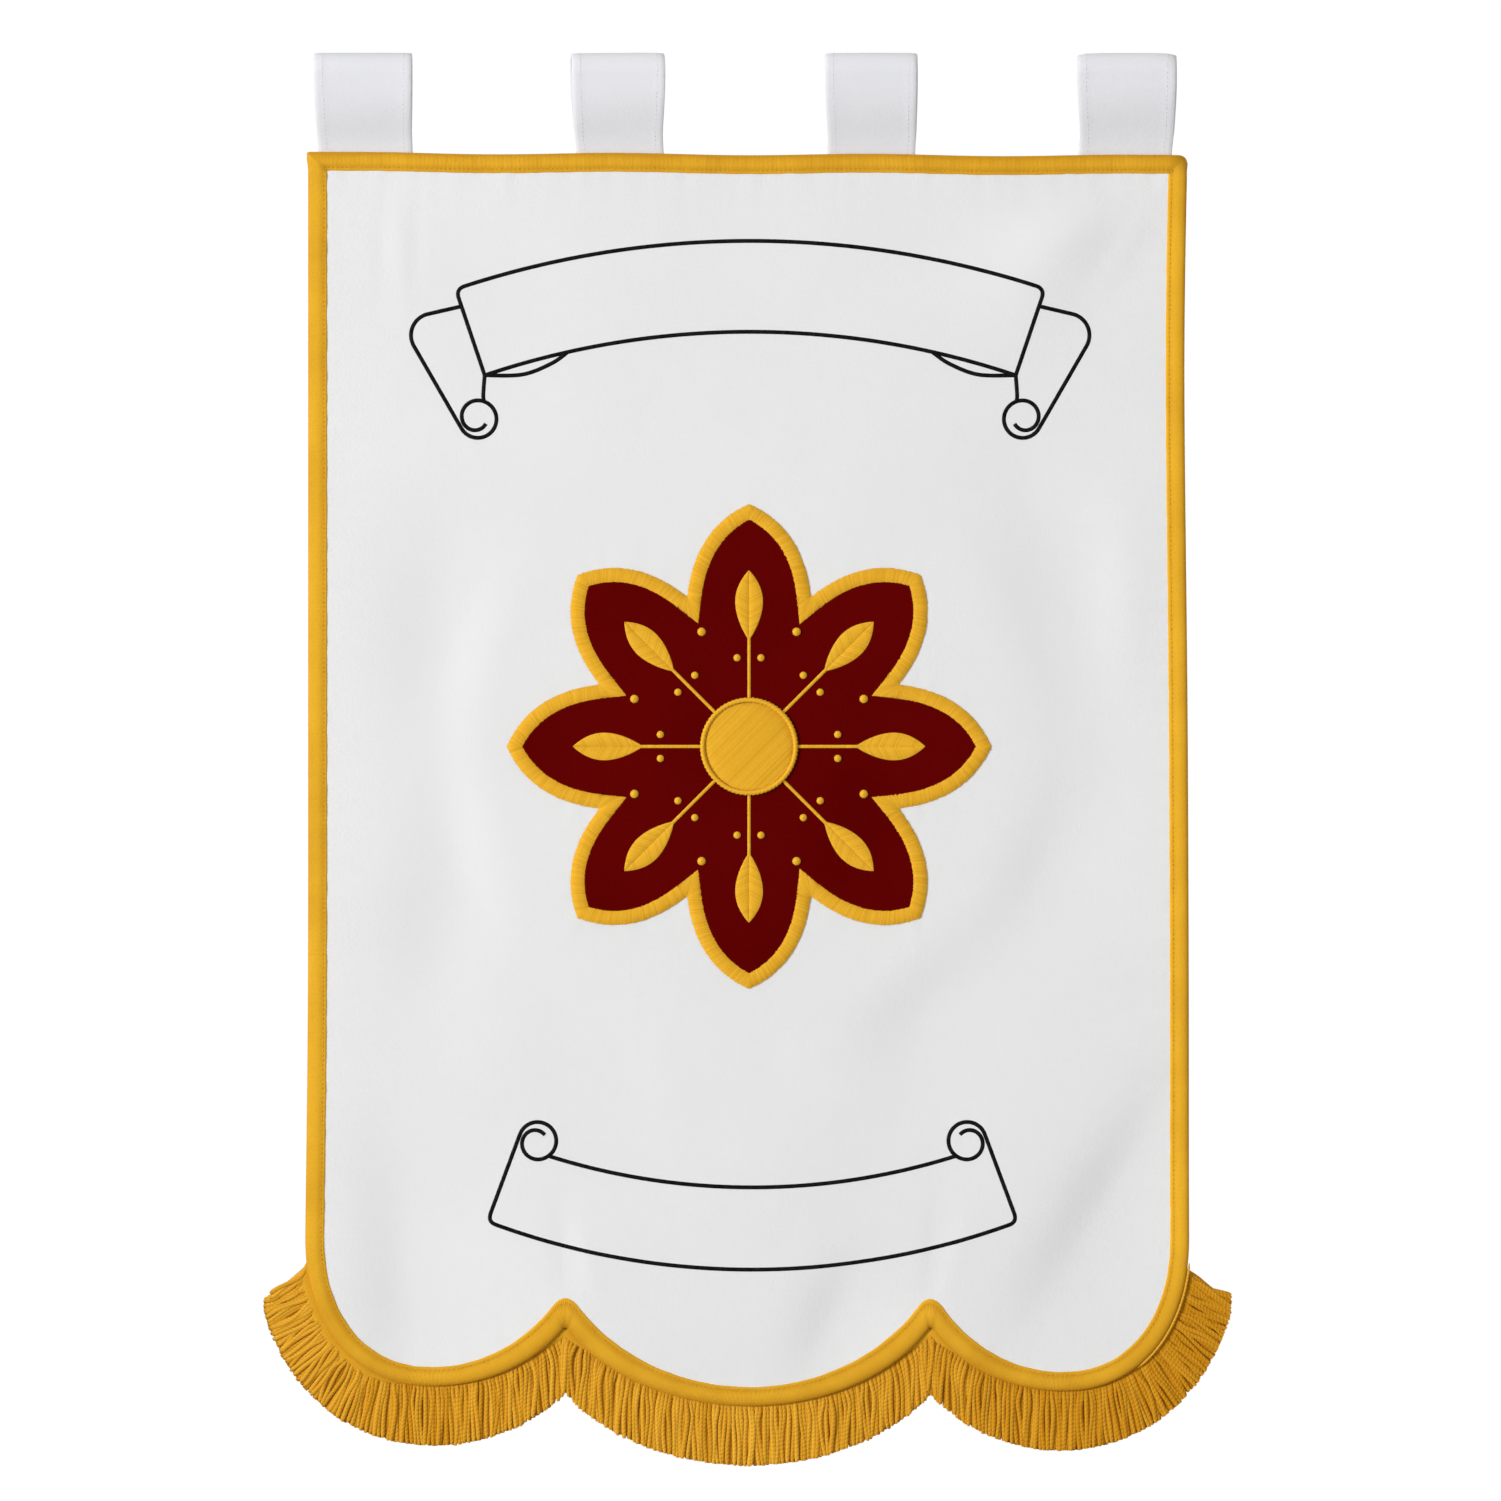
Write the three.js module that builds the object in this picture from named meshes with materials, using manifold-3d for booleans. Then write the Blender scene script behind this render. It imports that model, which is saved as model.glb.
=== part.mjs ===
// Fraternal banner: a white cloth panel bound in gold tape, hung by four tabs from a rod,
// with a scalloped hem, a gold fringe and a sewn-on rosette.
// Millimetres, +Z up, front towards -Y. The origin is on the rod's axis, midway along the banner.
import * as THREE from "three";
import Module from "manifold-3d";

const wasm = await Module();
wasm.setup();

// Cloth and tape
const PIECE_GAP = 0.3;
const PANEL_THICKNESS = 1.4;
const BINDING_WIDTH = 13.5;
const BINDING_WALL = 1.1;
const BINDING_LIP = 0.6;
const SLOT_HALF = PANEL_THICKNESS / 2 + PIECE_GAP;
const BINDING_HALF = SLOT_HALF + BINDING_WALL;
const CLOTH_INSET = BINDING_WALL + PIECE_GAP;
const BINDING_CROWN_INSET = BINDING_WIDTH / 3;

// Hanging tabs, each a strip looped over the rod with both ends behind the panel
const TAB_THICKNESS = 1.5;
const TAB_LOOP_RADIUS = 14.5;
const TAB_TAIL = 28;
const TAB_LOOP_TURN = Math.PI * 0.55;
const TAB_LOOP_STEPS = 6;
const TAB_RISE_STEPS = 7;
const TAB_STRAIGHT_SHARE = 0.72;
const TAB_LOOP_EASE = { across: 8, down: 26 };
const TABS = [
  { name: "tab_1", centre: -266.5, topWidth: 68, baseWidth: 65.5, baseShift: 1 },
  { name: "tab_2", centre: -89.5, topWidth: 64.5, baseWidth: 60.5, baseShift: 0.7 },
  { name: "tab_3", centre: 84.9, topWidth: 63.8, baseWidth: 61, baseShift: 0.5 },
  { name: "tab_4", centre: 261.7, topWidth: 68.6, baseWidth: 64.5, baseShift: 0 },
];

// The panel hangs just in front of the two layers of tab cloth
const PANEL_Y = -(PIECE_GAP / 2 + TAB_THICKNESS + PIECE_GAP + BINDING_HALF);

// Outer edge of the bound cloth: top, sides and scallops
const TOP_Z = -54.2;
const TOP_TILT = -2.2;
const TOP_SAG = 1.3;
const TOP_OVERHANG = 1.4;
const BANNER_WIDTH = 610;
const CORNER_POWER = 2.2;
const LEFT_SIDE = [
  { x: -305, z: -53.1 },
  { x: -305, z: -400 },
  { x: -305.2, z: -640 },
  { x: -307, z: -805 },
];
const RIGHT_SIDE = [
  { x: 304.6, z: -55.3 },
  { x: 302.6, z: -210 },
  { x: 305, z: -470 },
  { x: 306, z: -805 },
];
const SCALLOPS = [
  { bottomX: -219, bottomZ: -909, fullness: 1.2 },
  { bottomX: 1.4, bottomZ: -922.6, fullness: 1.12 },
  { bottomX: 217.7, bottomZ: -912.2, fullness: 1.17 },
];
const NOTCHES = [
  { x: -126.6, foldZ: -867.4, lipZ: -839.4 },
  { x: 126.6, foldZ: -867.4, lipZ: -840 },
];

// Two rails carry the binding: its fold round the edge and its lips on the cloth
const FOLD_RAIL = { inset: 0, notchZ: "foldZ", trim: 3 };
const LIP_RAIL = { inset: BINDING_WIDTH, notchZ: "lipZ", trim: 18 };

// Stations along the edge
const CORNER_STEPS = 8;
const HALF_SCALLOP_STEPS = 6;
const NOTCH_STEPS = 4;
const SIDE_STEPS = 24;
const FRINGE_DENSITY = 8;

// Folds: soft ridges (relief above zero, forward) and troughs, each flank with its own width.
// Lean in degrees, foot to the left
const FOLDS = [
  { x: -212, z: -385, lean: 5, halfLength: 80, leftWidth: 38, rightWidth: 40, relief: -3.4 },
  { x: -205, z: -560, lean: 8, halfLength: 85, leftWidth: 36, rightWidth: 36, relief: -3.4 },
  { x: -234, z: -825, lean: -3, halfLength: 95, leftWidth: 32, rightWidth: 70, relief: -5.2 },
  { x: 221, z: -106, lean: 34, halfLength: 60, leftWidth: 34, rightWidth: 28, relief: 4.2 },
  { x: 224, z: -362, lean: -18, halfLength: 95, leftWidth: 42, rightWidth: 46, relief: -3.4 },
  { x: 262, z: -364, lean: 0, halfLength: 55, leftWidth: 20, rightWidth: 22, relief: 1.6 },
  { x: 218, z: -545, lean: 27, halfLength: 80, leftWidth: 38, rightWidth: 50, relief: -3 },
  { x: 122, z: -665, lean: 10, halfLength: 75, leftWidth: 38, rightWidth: 60, relief: -3.2 },
  { x: 246, z: -790, lean: 30, halfLength: 88, leftWidth: 24, rightWidth: 60, relief: -5.4 },
  { x: 62, z: -862, lean: 24, halfLength: 46, leftWidth: 21, rightWidth: 50, relief: -4 },
];
const TOP_LEVEL = 16;
const TOP_FADE = 48;
const ROSETTE_FLAT = 176;
const ROSETTE_FADE = 46;

// Fringe: a heading tape behind the binding, with two staggered rows of strands hanging from it
const HEADING_THICKNESS = 3.8;
const HEADING_INSIDE = 9;
const HEADING_SHOWN = { left: 5.5, right: 2.5 };
const HEADING_HIDDEN = -0.5;
const HEADING_BEND_GAIN = 1.4;
const FRINGE_START_Z = -819;
const FRINGE_END_Z = -823;
const STRAND_ROWS = [0.25, 0.75];
const STRAND_ROW_PITCH = 5.3;
const STRAND_PITCH = STRAND_ROW_PITCH / STRAND_ROWS.length;
const STRAND_WIDTH = 3.2;
const STRAND_DEPTH = 1.5;
const STRAND_ROOT = 4;
const STRAND_LENGTH = 41;
const STRAND_UNEVEN = 0.8;
const STRAND_WAVES = [{ rate: 12.9898, share: 0.6 }, { rate: 4.1414, share: 0.4 }];
const STRAND_DROOP = 0.16;
const STRAND_BEND_GAIN = 1.1;
const STRAND_FIRST = 5;
const STRAND_END_DROOP = THREE.MathUtils.degToRad(16);
const STRAND_END_SHARE = 0.88;
const STRAND_END_RUN = 26;

// Rosette sewn on the middle of the panel
const ROSETTE_X = 0.7;
const ROSETTE_Z = -465.4;
const PETALS = 8;
const PETAL_TIP = 168;
const PETAL_VALLEY = 112;
const PETAL_BULGE = 156;
const PETAL_BULGE_TURN = 0.62;
const PETAL_SIDE_STEPS = 6;
const BORDER_WIDTH = 11;
const BORDER_EDGE = 0.7;
const BORDER_CROWN = 1.9;
const GROUND_THICKNESS = 1.1;
const CENTRE_RADIUS = 31;
const CENTRE_EDGE = 0.8;
const CENTRE_CROWN = 2.2;
const CENTRE_SHOULDER = { radius: CENTRE_RADIUS * 0.7, height: CENTRE_CROWN * 0.85 };
const CENTRE_SIDES = 32;

// Small helpers
function lerp(a, b, t) {
  return a + (b - a) * t;
}

function smoothstep(t) {
  const s = Math.min(Math.max(t, 0), 1);
  return s * s * (3 - 2 * s);
}

function uneven(i) {
  let sum = 0;
  for (const wave of STRAND_WAVES) {
    sum += wave.share * Math.sin(i * wave.rate);
  }
  return sum;
}

function solidFrom(positions, index) {
  const geometry = new THREE.BufferGeometry();
  geometry.setAttribute("position", new THREE.Float32BufferAttribute(positions, 3));
  geometry.setIndex(index);
  return geometry;
}

// Top edge: straight but for a slight tilt and a sag between neighbouring tabs
function topEdgeZ(x) {
  let sag = 0;
  for (let i = 0; i + 1 < TABS.length; i += 1) {
    const from = TABS[i].centre;
    const to = TABS[i + 1].centre;
    if (x > from && x < to) {
      const s = Math.sin((Math.PI * (x - from)) / (to - from));
      sag = s * s;
    }
  }
  return TOP_Z + (TOP_TILT * x) / BANNER_WIDTH - TOP_SAG * sag;
}

// Depth of the cloth's middle at a point of the front view
function clothY(x, z) {
  let relief = 0;
  for (const fold of FOLDS) {
    const lean = THREE.MathUtils.degToRad(fold.lean);
    const dx = x - fold.x;
    const dz = z - fold.z;
    const along = (dx * Math.sin(lean) + dz * Math.cos(lean)) / fold.halfLength;
    const aside = dx * Math.cos(lean) - dz * Math.sin(lean);
    const across = aside / (aside < 0 ? fold.leftWidth : fold.rightWidth);
    relief += fold.relief * Math.exp(-(along ** 2) - across ** 2);
  }
  const topFade = smoothstep((topEdgeZ(x) - TOP_LEVEL - z) / TOP_FADE);
  const fromRosette = Math.hypot(x - ROSETTE_X, z - ROSETTE_Z);
  return PANEL_Y - relief * topFade * smoothstep((fromRosette - ROSETTE_FLAT) / ROSETTE_FADE);
}

// A station joins a point of the fold to a point of the lips, with the cloth's depth at both
function station(fold, lip) {
  return { fold, lip, foldY: clothY(fold.x, fold.y), lipY: clothY(lip.x, lip.y) };
}

function pointAt(s, inset, offset) {
  const share = inset / BINDING_WIDTH;
  return [
    lerp(s.fold.x, s.lip.x, share),
    lerp(s.foldY, s.lipY, share) + offset,
    lerp(s.fold.y, s.lip.y, share),
  ];
}

// A scallop's half from its bottom out to a notch, as part of an ellipse
function scallopHalf(scallop, notch, steps, rail) {
  const bottomZ = scallop.bottomZ + rail.inset;
  const rise = notch[rail.notchZ] - bottomZ;
  const halfWidth = Math.abs(notch.x - scallop.bottomX);
  const side = Math.sign(notch.x - scallop.bottomX);
  const a = halfWidth * scallop.fullness;
  const b = rise / (1 - Math.sqrt(1 - (halfWidth / a) ** 2));
  const turn = Math.asin(halfWidth / a) * (1 - rail.trim / Math.hypot(halfWidth, rise));
  const points = [];
  for (let i = 0; i <= steps; i += 1) {
    const t = (turn * i) / steps;
    points.push(new THREE.Vector2(scallop.bottomX + side * a * Math.sin(t), bottomZ + b * (1 - Math.cos(t))));
  }
  return points;
}

// A lower corner from the foot of a side round to a scallop's bottom
function cornerRun(foot, scallop, steps, rail) {
  const bottomZ = scallop.bottomZ + rail.inset;
  const a = Math.abs(scallop.bottomX - foot.x) - rail.inset;
  const b = foot.z - bottomZ;
  const side = Math.sign(foot.x - scallop.bottomX);
  const points = [];
  for (let i = 0; i <= steps; i += 1) {
    const t = (Math.PI / 2) * (i / steps);
    points.push(new THREE.Vector2(
      scallop.bottomX + side * a * Math.cos(t) ** (2 / CORNER_POWER),
      bottomZ + b * (1 - Math.sin(t) ** (2 / CORNER_POWER)),
    ));
  }
  return points;
}

// A notch rounded between the ends of its two scallops
function notchRun(from, notch, to, steps, rail) {
  const curve = new THREE.QuadraticBezierCurve(from, new THREE.Vector2(notch.x, notch[rail.notchZ]), to);
  return curve.getPoints(steps).slice(1, -1);
}

// One rail of the hem, from the foot of the left side to the foot of the right side
function hemPoints(density, rail) {
  const half = HALF_SCALLOP_STEPS * density;
  const corner = CORNER_STEPS * density;
  const notch = NOTCH_STEPS * density;
  const leftIn = scallopHalf(SCALLOPS[0], NOTCHES[0], half, rail);
  const middleLeft = scallopHalf(SCALLOPS[1], NOTCHES[0], half, rail).reverse();
  const middleRight = scallopHalf(SCALLOPS[1], NOTCHES[1], half, rail);
  const rightIn = scallopHalf(SCALLOPS[2], NOTCHES[1], half, rail).reverse();
  return [
    ...cornerRun(LEFT_SIDE[LEFT_SIDE.length - 1], SCALLOPS[0], corner, rail).slice(0, -1),
    ...leftIn,
    ...notchRun(leftIn[leftIn.length - 1], NOTCHES[0], middleLeft[0], notch, rail),
    ...middleLeft.slice(0, -1),
    ...middleRight,
    ...notchRun(middleRight[middleRight.length - 1], NOTCHES[1], rightIn[0], notch, rail),
    ...rightIn.slice(0, -1),
    ...cornerRun(RIGHT_SIDE[RIGHT_SIDE.length - 1], SCALLOPS[2], corner, rail).reverse(),
  ];
}

function hemStations(density) {
  const lips = hemPoints(density, LIP_RAIL);
  return hemPoints(density, FOLD_RAIL).map((fold, i) => station(fold, lips[i]));
}

// Stations down one side, without its foot, which belongs to the hem
function sideStations(rows) {
  const curve = new THREE.SplineCurve(rows.map((row) => new THREE.Vector2(row.x, row.z)));
  const inward = -Math.sign(rows[0].x) * BINDING_WIDTH;
  const folds = curve.getSpacedPoints(SIDE_STEPS).slice(0, -1);
  return folds.map((fold) => station(fold, new THREE.Vector2(fold.x + inward, fold.y)));
}

// Whole edge, anticlockwise in the front view: down the left, along the hem, up the right
const leftStations = sideStations(LEFT_SIDE);
const rightStations = sideStations(RIGHT_SIDE).reverse();
const hemLine = hemStations(1);
const roundStations = [...leftStations, ...hemLine, ...rightStations];
const columns = hemLine.length - 1;

// Top edge stations run the same way round, from right to left
function topStations() {
  const list = [];
  for (let i = 0; i <= columns; i += 1) {
    const x = lerp(RIGHT_SIDE[0].x, LEFT_SIDE[0].x, i / columns);
    const z = topEdgeZ(x);
    list.push(station(new THREE.Vector2(x, z), new THREE.Vector2(x, z - BINDING_WIDTH)));
  }
  return list;
}

// The mitre of a top corner, dropped by the gap for the tape below it
function cornerStation(x, side, overhang = 0, drop = 0) {
  const z = topEdgeZ(x) - drop;
  const fold = new THREE.Vector2(x + side * overhang, z);
  return station(fold, new THREE.Vector2(x - side * BINDING_WIDTH, z - BINDING_WIDTH));
}

const topRun = topStations();
const edgeLoop = [
  cornerStation(LEFT_SIDE[0].x, -1),
  ...roundStations.slice(1, -1),
  cornerStation(RIGHT_SIDE[0].x, 1),
  ...topRun.slice(1, -1),
];

// Panel: a band under the binding and a grid inside it, thickened to a solid
function panelSolid() {
  const count = edgeLoop.length;
  const flat = [];
  for (const s of edgeLoop) {
    flat.push(pointAt(s, CLOTH_INSET, 0));
  }
  for (const s of edgeLoop) {
    flat.push(pointAt(s, BINDING_WIDTH, 0));
  }
  const faces = [];
  for (let i = 0; i < count; i += 1) {
    const next = (i + 1) % count;
    faces.push([i, next, count + next], [i, count + next, count + i]);
  }
  const lip = (i) => count + ((i + count) % count);
  const left = (r) => lip(r);
  const bottom = (c) => lip(SIDE_STEPS + c);
  const right = (r) => lip(SIDE_STEPS * 2 + columns - r);
  const top = (c) => lip(count - c);
  const node = [];
  for (let r = 0; r <= SIDE_STEPS; r += 1) {
    node.push([]);
    for (let c = 0; c <= columns; c += 1) {
      if (r === 0) {
        node[r].push(top(c));
      } else if (r === SIDE_STEPS) {
        node[r].push(bottom(c));
      } else if (c === 0) {
        node[r].push(left(r));
      } else if (c === columns) {
        node[r].push(right(r));
      } else {
        const u = c / columns;
        const v = r / SIDE_STEPS;
        const blend = (k) =>
          lerp(flat[top(c)][k], flat[bottom(c)][k], v) +
          lerp(flat[left(r)][k], flat[right(r)][k], u) -
          lerp(
            lerp(flat[top(0)][k], flat[top(columns)][k], u),
            lerp(flat[bottom(0)][k], flat[bottom(columns)][k], u),
            v,
          );
        const x = blend(0);
        const z = blend(2);
        node[r].push(flat.length);
        flat.push([x, clothY(x, z), z]);
      }
    }
  }
  for (let r = 0; r < SIDE_STEPS; r += 1) {
    for (let c = 0; c < columns; c += 1) {
      const a = node[r][c];
      const b = node[r + 1][c];
      const d = node[r][c + 1];
      const e = node[r + 1][c + 1];
      faces.push([a, b, e], [a, e, d]);
    }
  }
  return thicken(flat, faces, count, PANEL_THICKNESS);
}

// Two layers of a sheet, front and back, closed round the rim of its first points
function thicken(flat, faces, rim, thickness) {
  const positions = [];
  for (const p of flat) {
    positions.push(p[0], p[1] - thickness / 2, p[2]);
  }
  for (const p of flat) {
    positions.push(p[0], p[1] + thickness / 2, p[2]);
  }
  const back = flat.length;
  const index = [];
  for (const [a, b, c] of faces) {
    index.push(a, b, c, back + a, back + c, back + b);
  }
  for (let i = 0; i < rim; i += 1) {
    const next = (i + 1) % rim;
    index.push(i, back + i, back + next, i, back + next, next);
  }
  return solidFrom(positions, index);
}

// A section of inset and offset pairs carried along stations, closed at both ends
function sweep(stations, sectionAt) {
  const positions = [];
  const index = [];
  const size = sectionAt(stations[0]).length;
  for (const s of stations) {
    for (const [inset, offset] of sectionAt(s)) {
      positions.push(...pointAt(s, inset, offset));
    }
  }
  for (let i = 0; i + 1 < stations.length; i += 1) {
    for (let k = 0; k < size; k += 1) {
      const a = i * size + k;
      const b = i * size + ((k + 1) % size);
      index.push(a, b + size, b, a, a + size, b + size);
    }
  }
  const outline = sectionAt(stations[0]).map(([inset, offset]) => new THREE.Vector2(inset, offset));
  const last = (stations.length - 1) * size;
  for (const [a, b, c] of THREE.ShapeUtils.triangulateShape(outline, [])) {
    index.push(a, b, c, last + a, last + c, last + b);
  }
  return solidFrom(positions, index);
}

// Folded tape: two legs gripping the cloth, crowned on both faces, thin at the lips
const BINDING_SECTION = [
  [BINDING_WIDTH, -SLOT_HALF],
  [BINDING_WALL, -SLOT_HALF],
  [BINDING_WALL, SLOT_HALF],
  [BINDING_WIDTH, SLOT_HALF],
  [BINDING_WIDTH, SLOT_HALF + BINDING_LIP],
  [BINDING_CROWN_INSET, BINDING_HALF],
  [0, SLOT_HALF],
  [0, -SLOT_HALF],
  [BINDING_CROWN_INSET, -BINDING_HALF],
  [BINDING_WIDTH, -SLOT_HALF - BINDING_LIP],
];

// Top and side tapes meet in mitres, one piece gap apart
function bindingTopSolid() {
  const stations = topRun.filter((s, i) => i % 2 === 0);
  const first = cornerStation(RIGHT_SIDE[0].x, 1, TOP_OVERHANG);
  const last = cornerStation(LEFT_SIDE[0].x, -1, TOP_OVERHANG);
  const between = stations.filter((s) => s.fold.x > last.lip.x && s.fold.x < first.lip.x);
  return sweep([first, ...between, last], () => BINDING_SECTION);
}

function bindingHemSolid() {
  const drop = PIECE_GAP * 2;
  const first = cornerStation(LEFT_SIDE[0].x, -1, TOP_OVERHANG, drop);
  const last = cornerStation(RIGHT_SIDE[0].x, 1, TOP_OVERHANG, drop);
  return sweep([first, ...roundStations.slice(1, -1), last], () => BINDING_SECTION);
}

// Way into the cloth, square to the edge
function inwardWay(s) {
  return new THREE.Vector2().subVectors(s.lip, s.fold).normalize();
}

function isOutside(s) {
  return s.fold.x < SCALLOPS[0].bottomX || s.fold.x > SCALLOPS[2].bottomX;
}

// Fringe heading shows beside the binding at the lower corners and hides behind it elsewhere
function headingShown(s) {
  const shown = s.fold.x < 0 ? HEADING_SHOWN.left : HEADING_SHOWN.right;
  const share = isOutside(s) ? smoothstep(Math.abs(inwardWay(s).x) * HEADING_BEND_GAIN) : 0;
  return lerp(HEADING_HIDDEN, shown, share);
}

// Strands hang straight down along the scallops and fan out round the lower corners
function hangWay(s) {
  const inward = inwardWay(s);
  const bend = isOutside(s) ? smoothstep(Math.abs(inward.x) * STRAND_BEND_GAIN) : 0;
  const droop = lerp(1, STRAND_DROOP, bend);
  return new THREE.Vector2(lerp(-inward.x, 0, droop), lerp(-inward.y, -1, droop)).normalize();
}

function fringeStations(density) {
  return hemStations(density).filter((s) => s.fold.y < (s.fold.x < 0 ? FRINGE_START_Z : FRINGE_END_Z));
}

const fringeLine = fringeStations(FRINGE_DENSITY);

function headingSolid() {
  const near = BINDING_HALF + PIECE_GAP;
  const far = near + HEADING_THICKNESS;
  const stations = [fringeLine[0], ...fringeStations(1), fringeLine[fringeLine.length - 1]];
  return sweep(stations, (s) => [
    [HEADING_INSIDE, near],
    [HEADING_INSIDE, far],
    [-headingShown(s), far],
    [-headingShown(s), near],
  ]);
}

// One strand: a four-sided prism from inside the heading to its cut end
function strandSolid(place, number) {
  const { way, root } = place;
  const across = new THREE.Vector2(-way.y, way.x);
  const row = STRAND_ROWS[number % STRAND_ROWS.length];
  const y = place.foldY + BINDING_HALF + PIECE_GAP + HEADING_THICKNESS * row;
  const length = place.length + STRAND_UNEVEN * uneven(number);
  const positions = [];
  for (const reach of [-STRAND_ROOT, length]) {
    for (const [side, depth] of [[-1, -1], [1, -1], [1, 1], [-1, 1]]) {
      positions.push(
        root.x + way.x * reach + (across.x * side * STRAND_WIDTH) / 2,
        y + (depth * STRAND_DEPTH) / 2,
        root.y + way.y * reach + (across.y * side * STRAND_WIDTH) / 2,
      );
    }
  }
  const index = [0, 1, 2, 0, 2, 3, 4, 6, 5, 4, 7, 6];
  for (let k = 0; k < 4; k += 1) {
    const next = (k + 1) % 4;
    index.push(k, next + 4, next, k, k + 4, next + 4);
  }
  return solidFrom(positions, index);
}

// Strands stand one pitch apart, measured square to the way they hang
function strandPlaces() {
  const line = fringeLine;
  const places = [];
  let travelled = 0;
  let due = STRAND_FIRST;
  for (let i = 0; i + 1 < line.length; i += 1) {
    const way = hangWay(line[i]);
    const along = new THREE.Vector2().subVectors(line[i + 1].fold, line[i].fold);
    const step = Math.abs(along.cross(way));
    while (due <= travelled + step) {
      const share = (due - travelled) / step;
      const root = new THREE.Vector2().lerpVectors(line[i].fold, line[i + 1].fold, share);
      places.push({ root, way: way.clone(), foldY: lerp(line[i].foldY, line[i + 1].foldY, share), run: due });
      due += STRAND_PITCH;
    }
    travelled += step;
  }
  const kept = places.filter((place) => place.run < travelled - STRAND_FIRST + STRAND_PITCH / 2);
  for (const place of kept) {
    const nearEnd = Math.exp(-Math.min(place.run, travelled - place.run) / STRAND_END_RUN);
    place.way.rotateAround(new THREE.Vector2(), -Math.sign(place.root.x) * STRAND_END_DROOP * nearEnd);
    place.length = STRAND_LENGTH * lerp(1, STRAND_END_SHARE, nearEnd);
  }
  return kept;
}

function toManifold(geometry) {
  const position = geometry.getAttribute("position");
  const mesh = new wasm.Mesh({
    numProp: 3,
    vertProperties: new Float32Array(position.array),
    triVerts: new Uint32Array(geometry.getIndex().array),
  });
  mesh.merge();
  return new wasm.Manifold(mesh);
}

function fromManifold(manifold) {
  const mesh = manifold.getMesh();
  return solidFrom(Array.from(mesh.vertProperties), Array.from(mesh.triVerts));
}

function fringeSolid() {
  let body = toManifold(headingSolid());
  strandPlaces().forEach((place, number) => {
    body = body.add(toManifold(strandSolid(place, number)));
  });
  return fromManifold(body);
}

// Tab: the strip's middle line runs up behind the panel, round the rod and down again
function tabLine(baseZ) {
  const radius = TAB_LOOP_RADIUS + TAB_THICKNESS / 2;
  const layer = (PIECE_GAP + TAB_THICKNESS) / 2;
  const turn = TAB_LOOP_TURN;
  const loopFoot = new THREE.Vector2(-radius * Math.sin(turn), radius * Math.cos(turn));
  const ease = new THREE.Vector2(TAB_LOOP_EASE.across * Math.cos(turn), -TAB_LOOP_EASE.down * Math.sin(turn));
  const rise = new THREE.CubicBezierCurve(
    new THREE.Vector2(-layer, baseZ),
    new THREE.Vector2(-layer, baseZ * TAB_STRAIGHT_SHARE),
    new THREE.Vector2().addVectors(loopFoot, ease),
    loopFoot,
  );
  const half = [new THREE.Vector2(-layer, baseZ - TAB_TAIL), ...rise.getPoints(TAB_RISE_STEPS)];
  for (let i = 1; i <= TAB_LOOP_STEPS; i += 1) {
    const t = turn * (1 - i / TAB_LOOP_STEPS);
    half.push(new THREE.Vector2(-radius * Math.sin(t), radius * Math.cos(t)));
  }
  const mirrored = half.slice(0, -1).reverse().map((p) => new THREE.Vector2(-p.x, p.y));
  return [...half, ...mirrored];
}

function tabSolid(tab) {
  const line = tabLine(topEdgeZ(tab.centre));
  const near = [];
  const far = [];
  for (let i = 0; i < line.length; i += 1) {
    const before = line[Math.max(i - 1, 0)];
    const after = line[Math.min(i + 1, line.length - 1)];
    const tangent = new THREE.Vector2().subVectors(after, before).normalize();
    const side = new THREE.Vector2(-tangent.y, tangent.x).multiplyScalar(TAB_THICKNESS / 2);
    near.push(new THREE.Vector2().addVectors(line[i], side));
    far.push(new THREE.Vector2().subVectors(line[i], side));
  }
  const outline = [...far, ...near.reverse()];
  const positions = [];
  for (const side of [-1, 1]) {
    for (const p of outline) {
      const drop = smoothstep(p.y / topEdgeZ(tab.centre));
      const width = lerp(tab.topWidth, tab.baseWidth, drop);
      positions.push(tab.centre + tab.baseShift * drop + (side * width) / 2, p.x, p.y);
    }
  }
  const count = outline.length;
  const index = [];
  for (let k = 0; k < count; k += 1) {
    const next = (k + 1) % count;
    index.push(k, next, count + next, k, count + next, count + k);
  }
  for (const [a, b, c] of THREE.ShapeUtils.triangulateShape(outline, [])) {
    index.push(a, c, b, count + a, count + b, count + c);
  }
  return solidFrom(positions, index);
}

// Rosette outline: pointed petals, each side one curve from valley to tip
function rosettePoints() {
  const points = [];
  const polar = (radius, angle) => new THREE.Vector2(radius * Math.sin(angle), radius * Math.cos(angle));
  const half = Math.PI / PETALS;
  for (let i = 0; i < PETALS; i += 1) {
    const middle = half * 2 * i;
    const tip = polar(PETAL_TIP, middle);
    const rise = new THREE.QuadraticBezierCurve(
      polar(PETAL_VALLEY, middle - half),
      polar(PETAL_BULGE, middle - half * PETAL_BULGE_TURN),
      tip,
    );
    const fall = new THREE.QuadraticBezierCurve(
      tip,
      polar(PETAL_BULGE, middle + half * PETAL_BULGE_TURN),
      polar(PETAL_VALLEY, middle + half),
    );
    points.push(...rise.getPoints(PETAL_SIDE_STEPS).slice(0, -1));
    points.push(...fall.getPoints(PETAL_SIDE_STEPS).slice(0, -1));
  }
  return points.reverse();
}

// The same outline a set distance further in, mitred at tips and valleys
function insetLoop(points, distance) {
  const count = points.length;
  return points.map((p, i) => {
    const a = new THREE.Vector2().subVectors(p, points[(i + count - 1) % count]).normalize();
    const b = new THREE.Vector2().subVectors(points[(i + 1) % count], p).normalize();
    const inward = new THREE.Vector2(-a.y - b.y, a.x + b.x).normalize();
    const square = new THREE.Vector2(-a.y, a.x);
    return new THREE.Vector2().copy(p).addScaledVector(inward, distance / inward.dot(square));
  });
}

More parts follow.
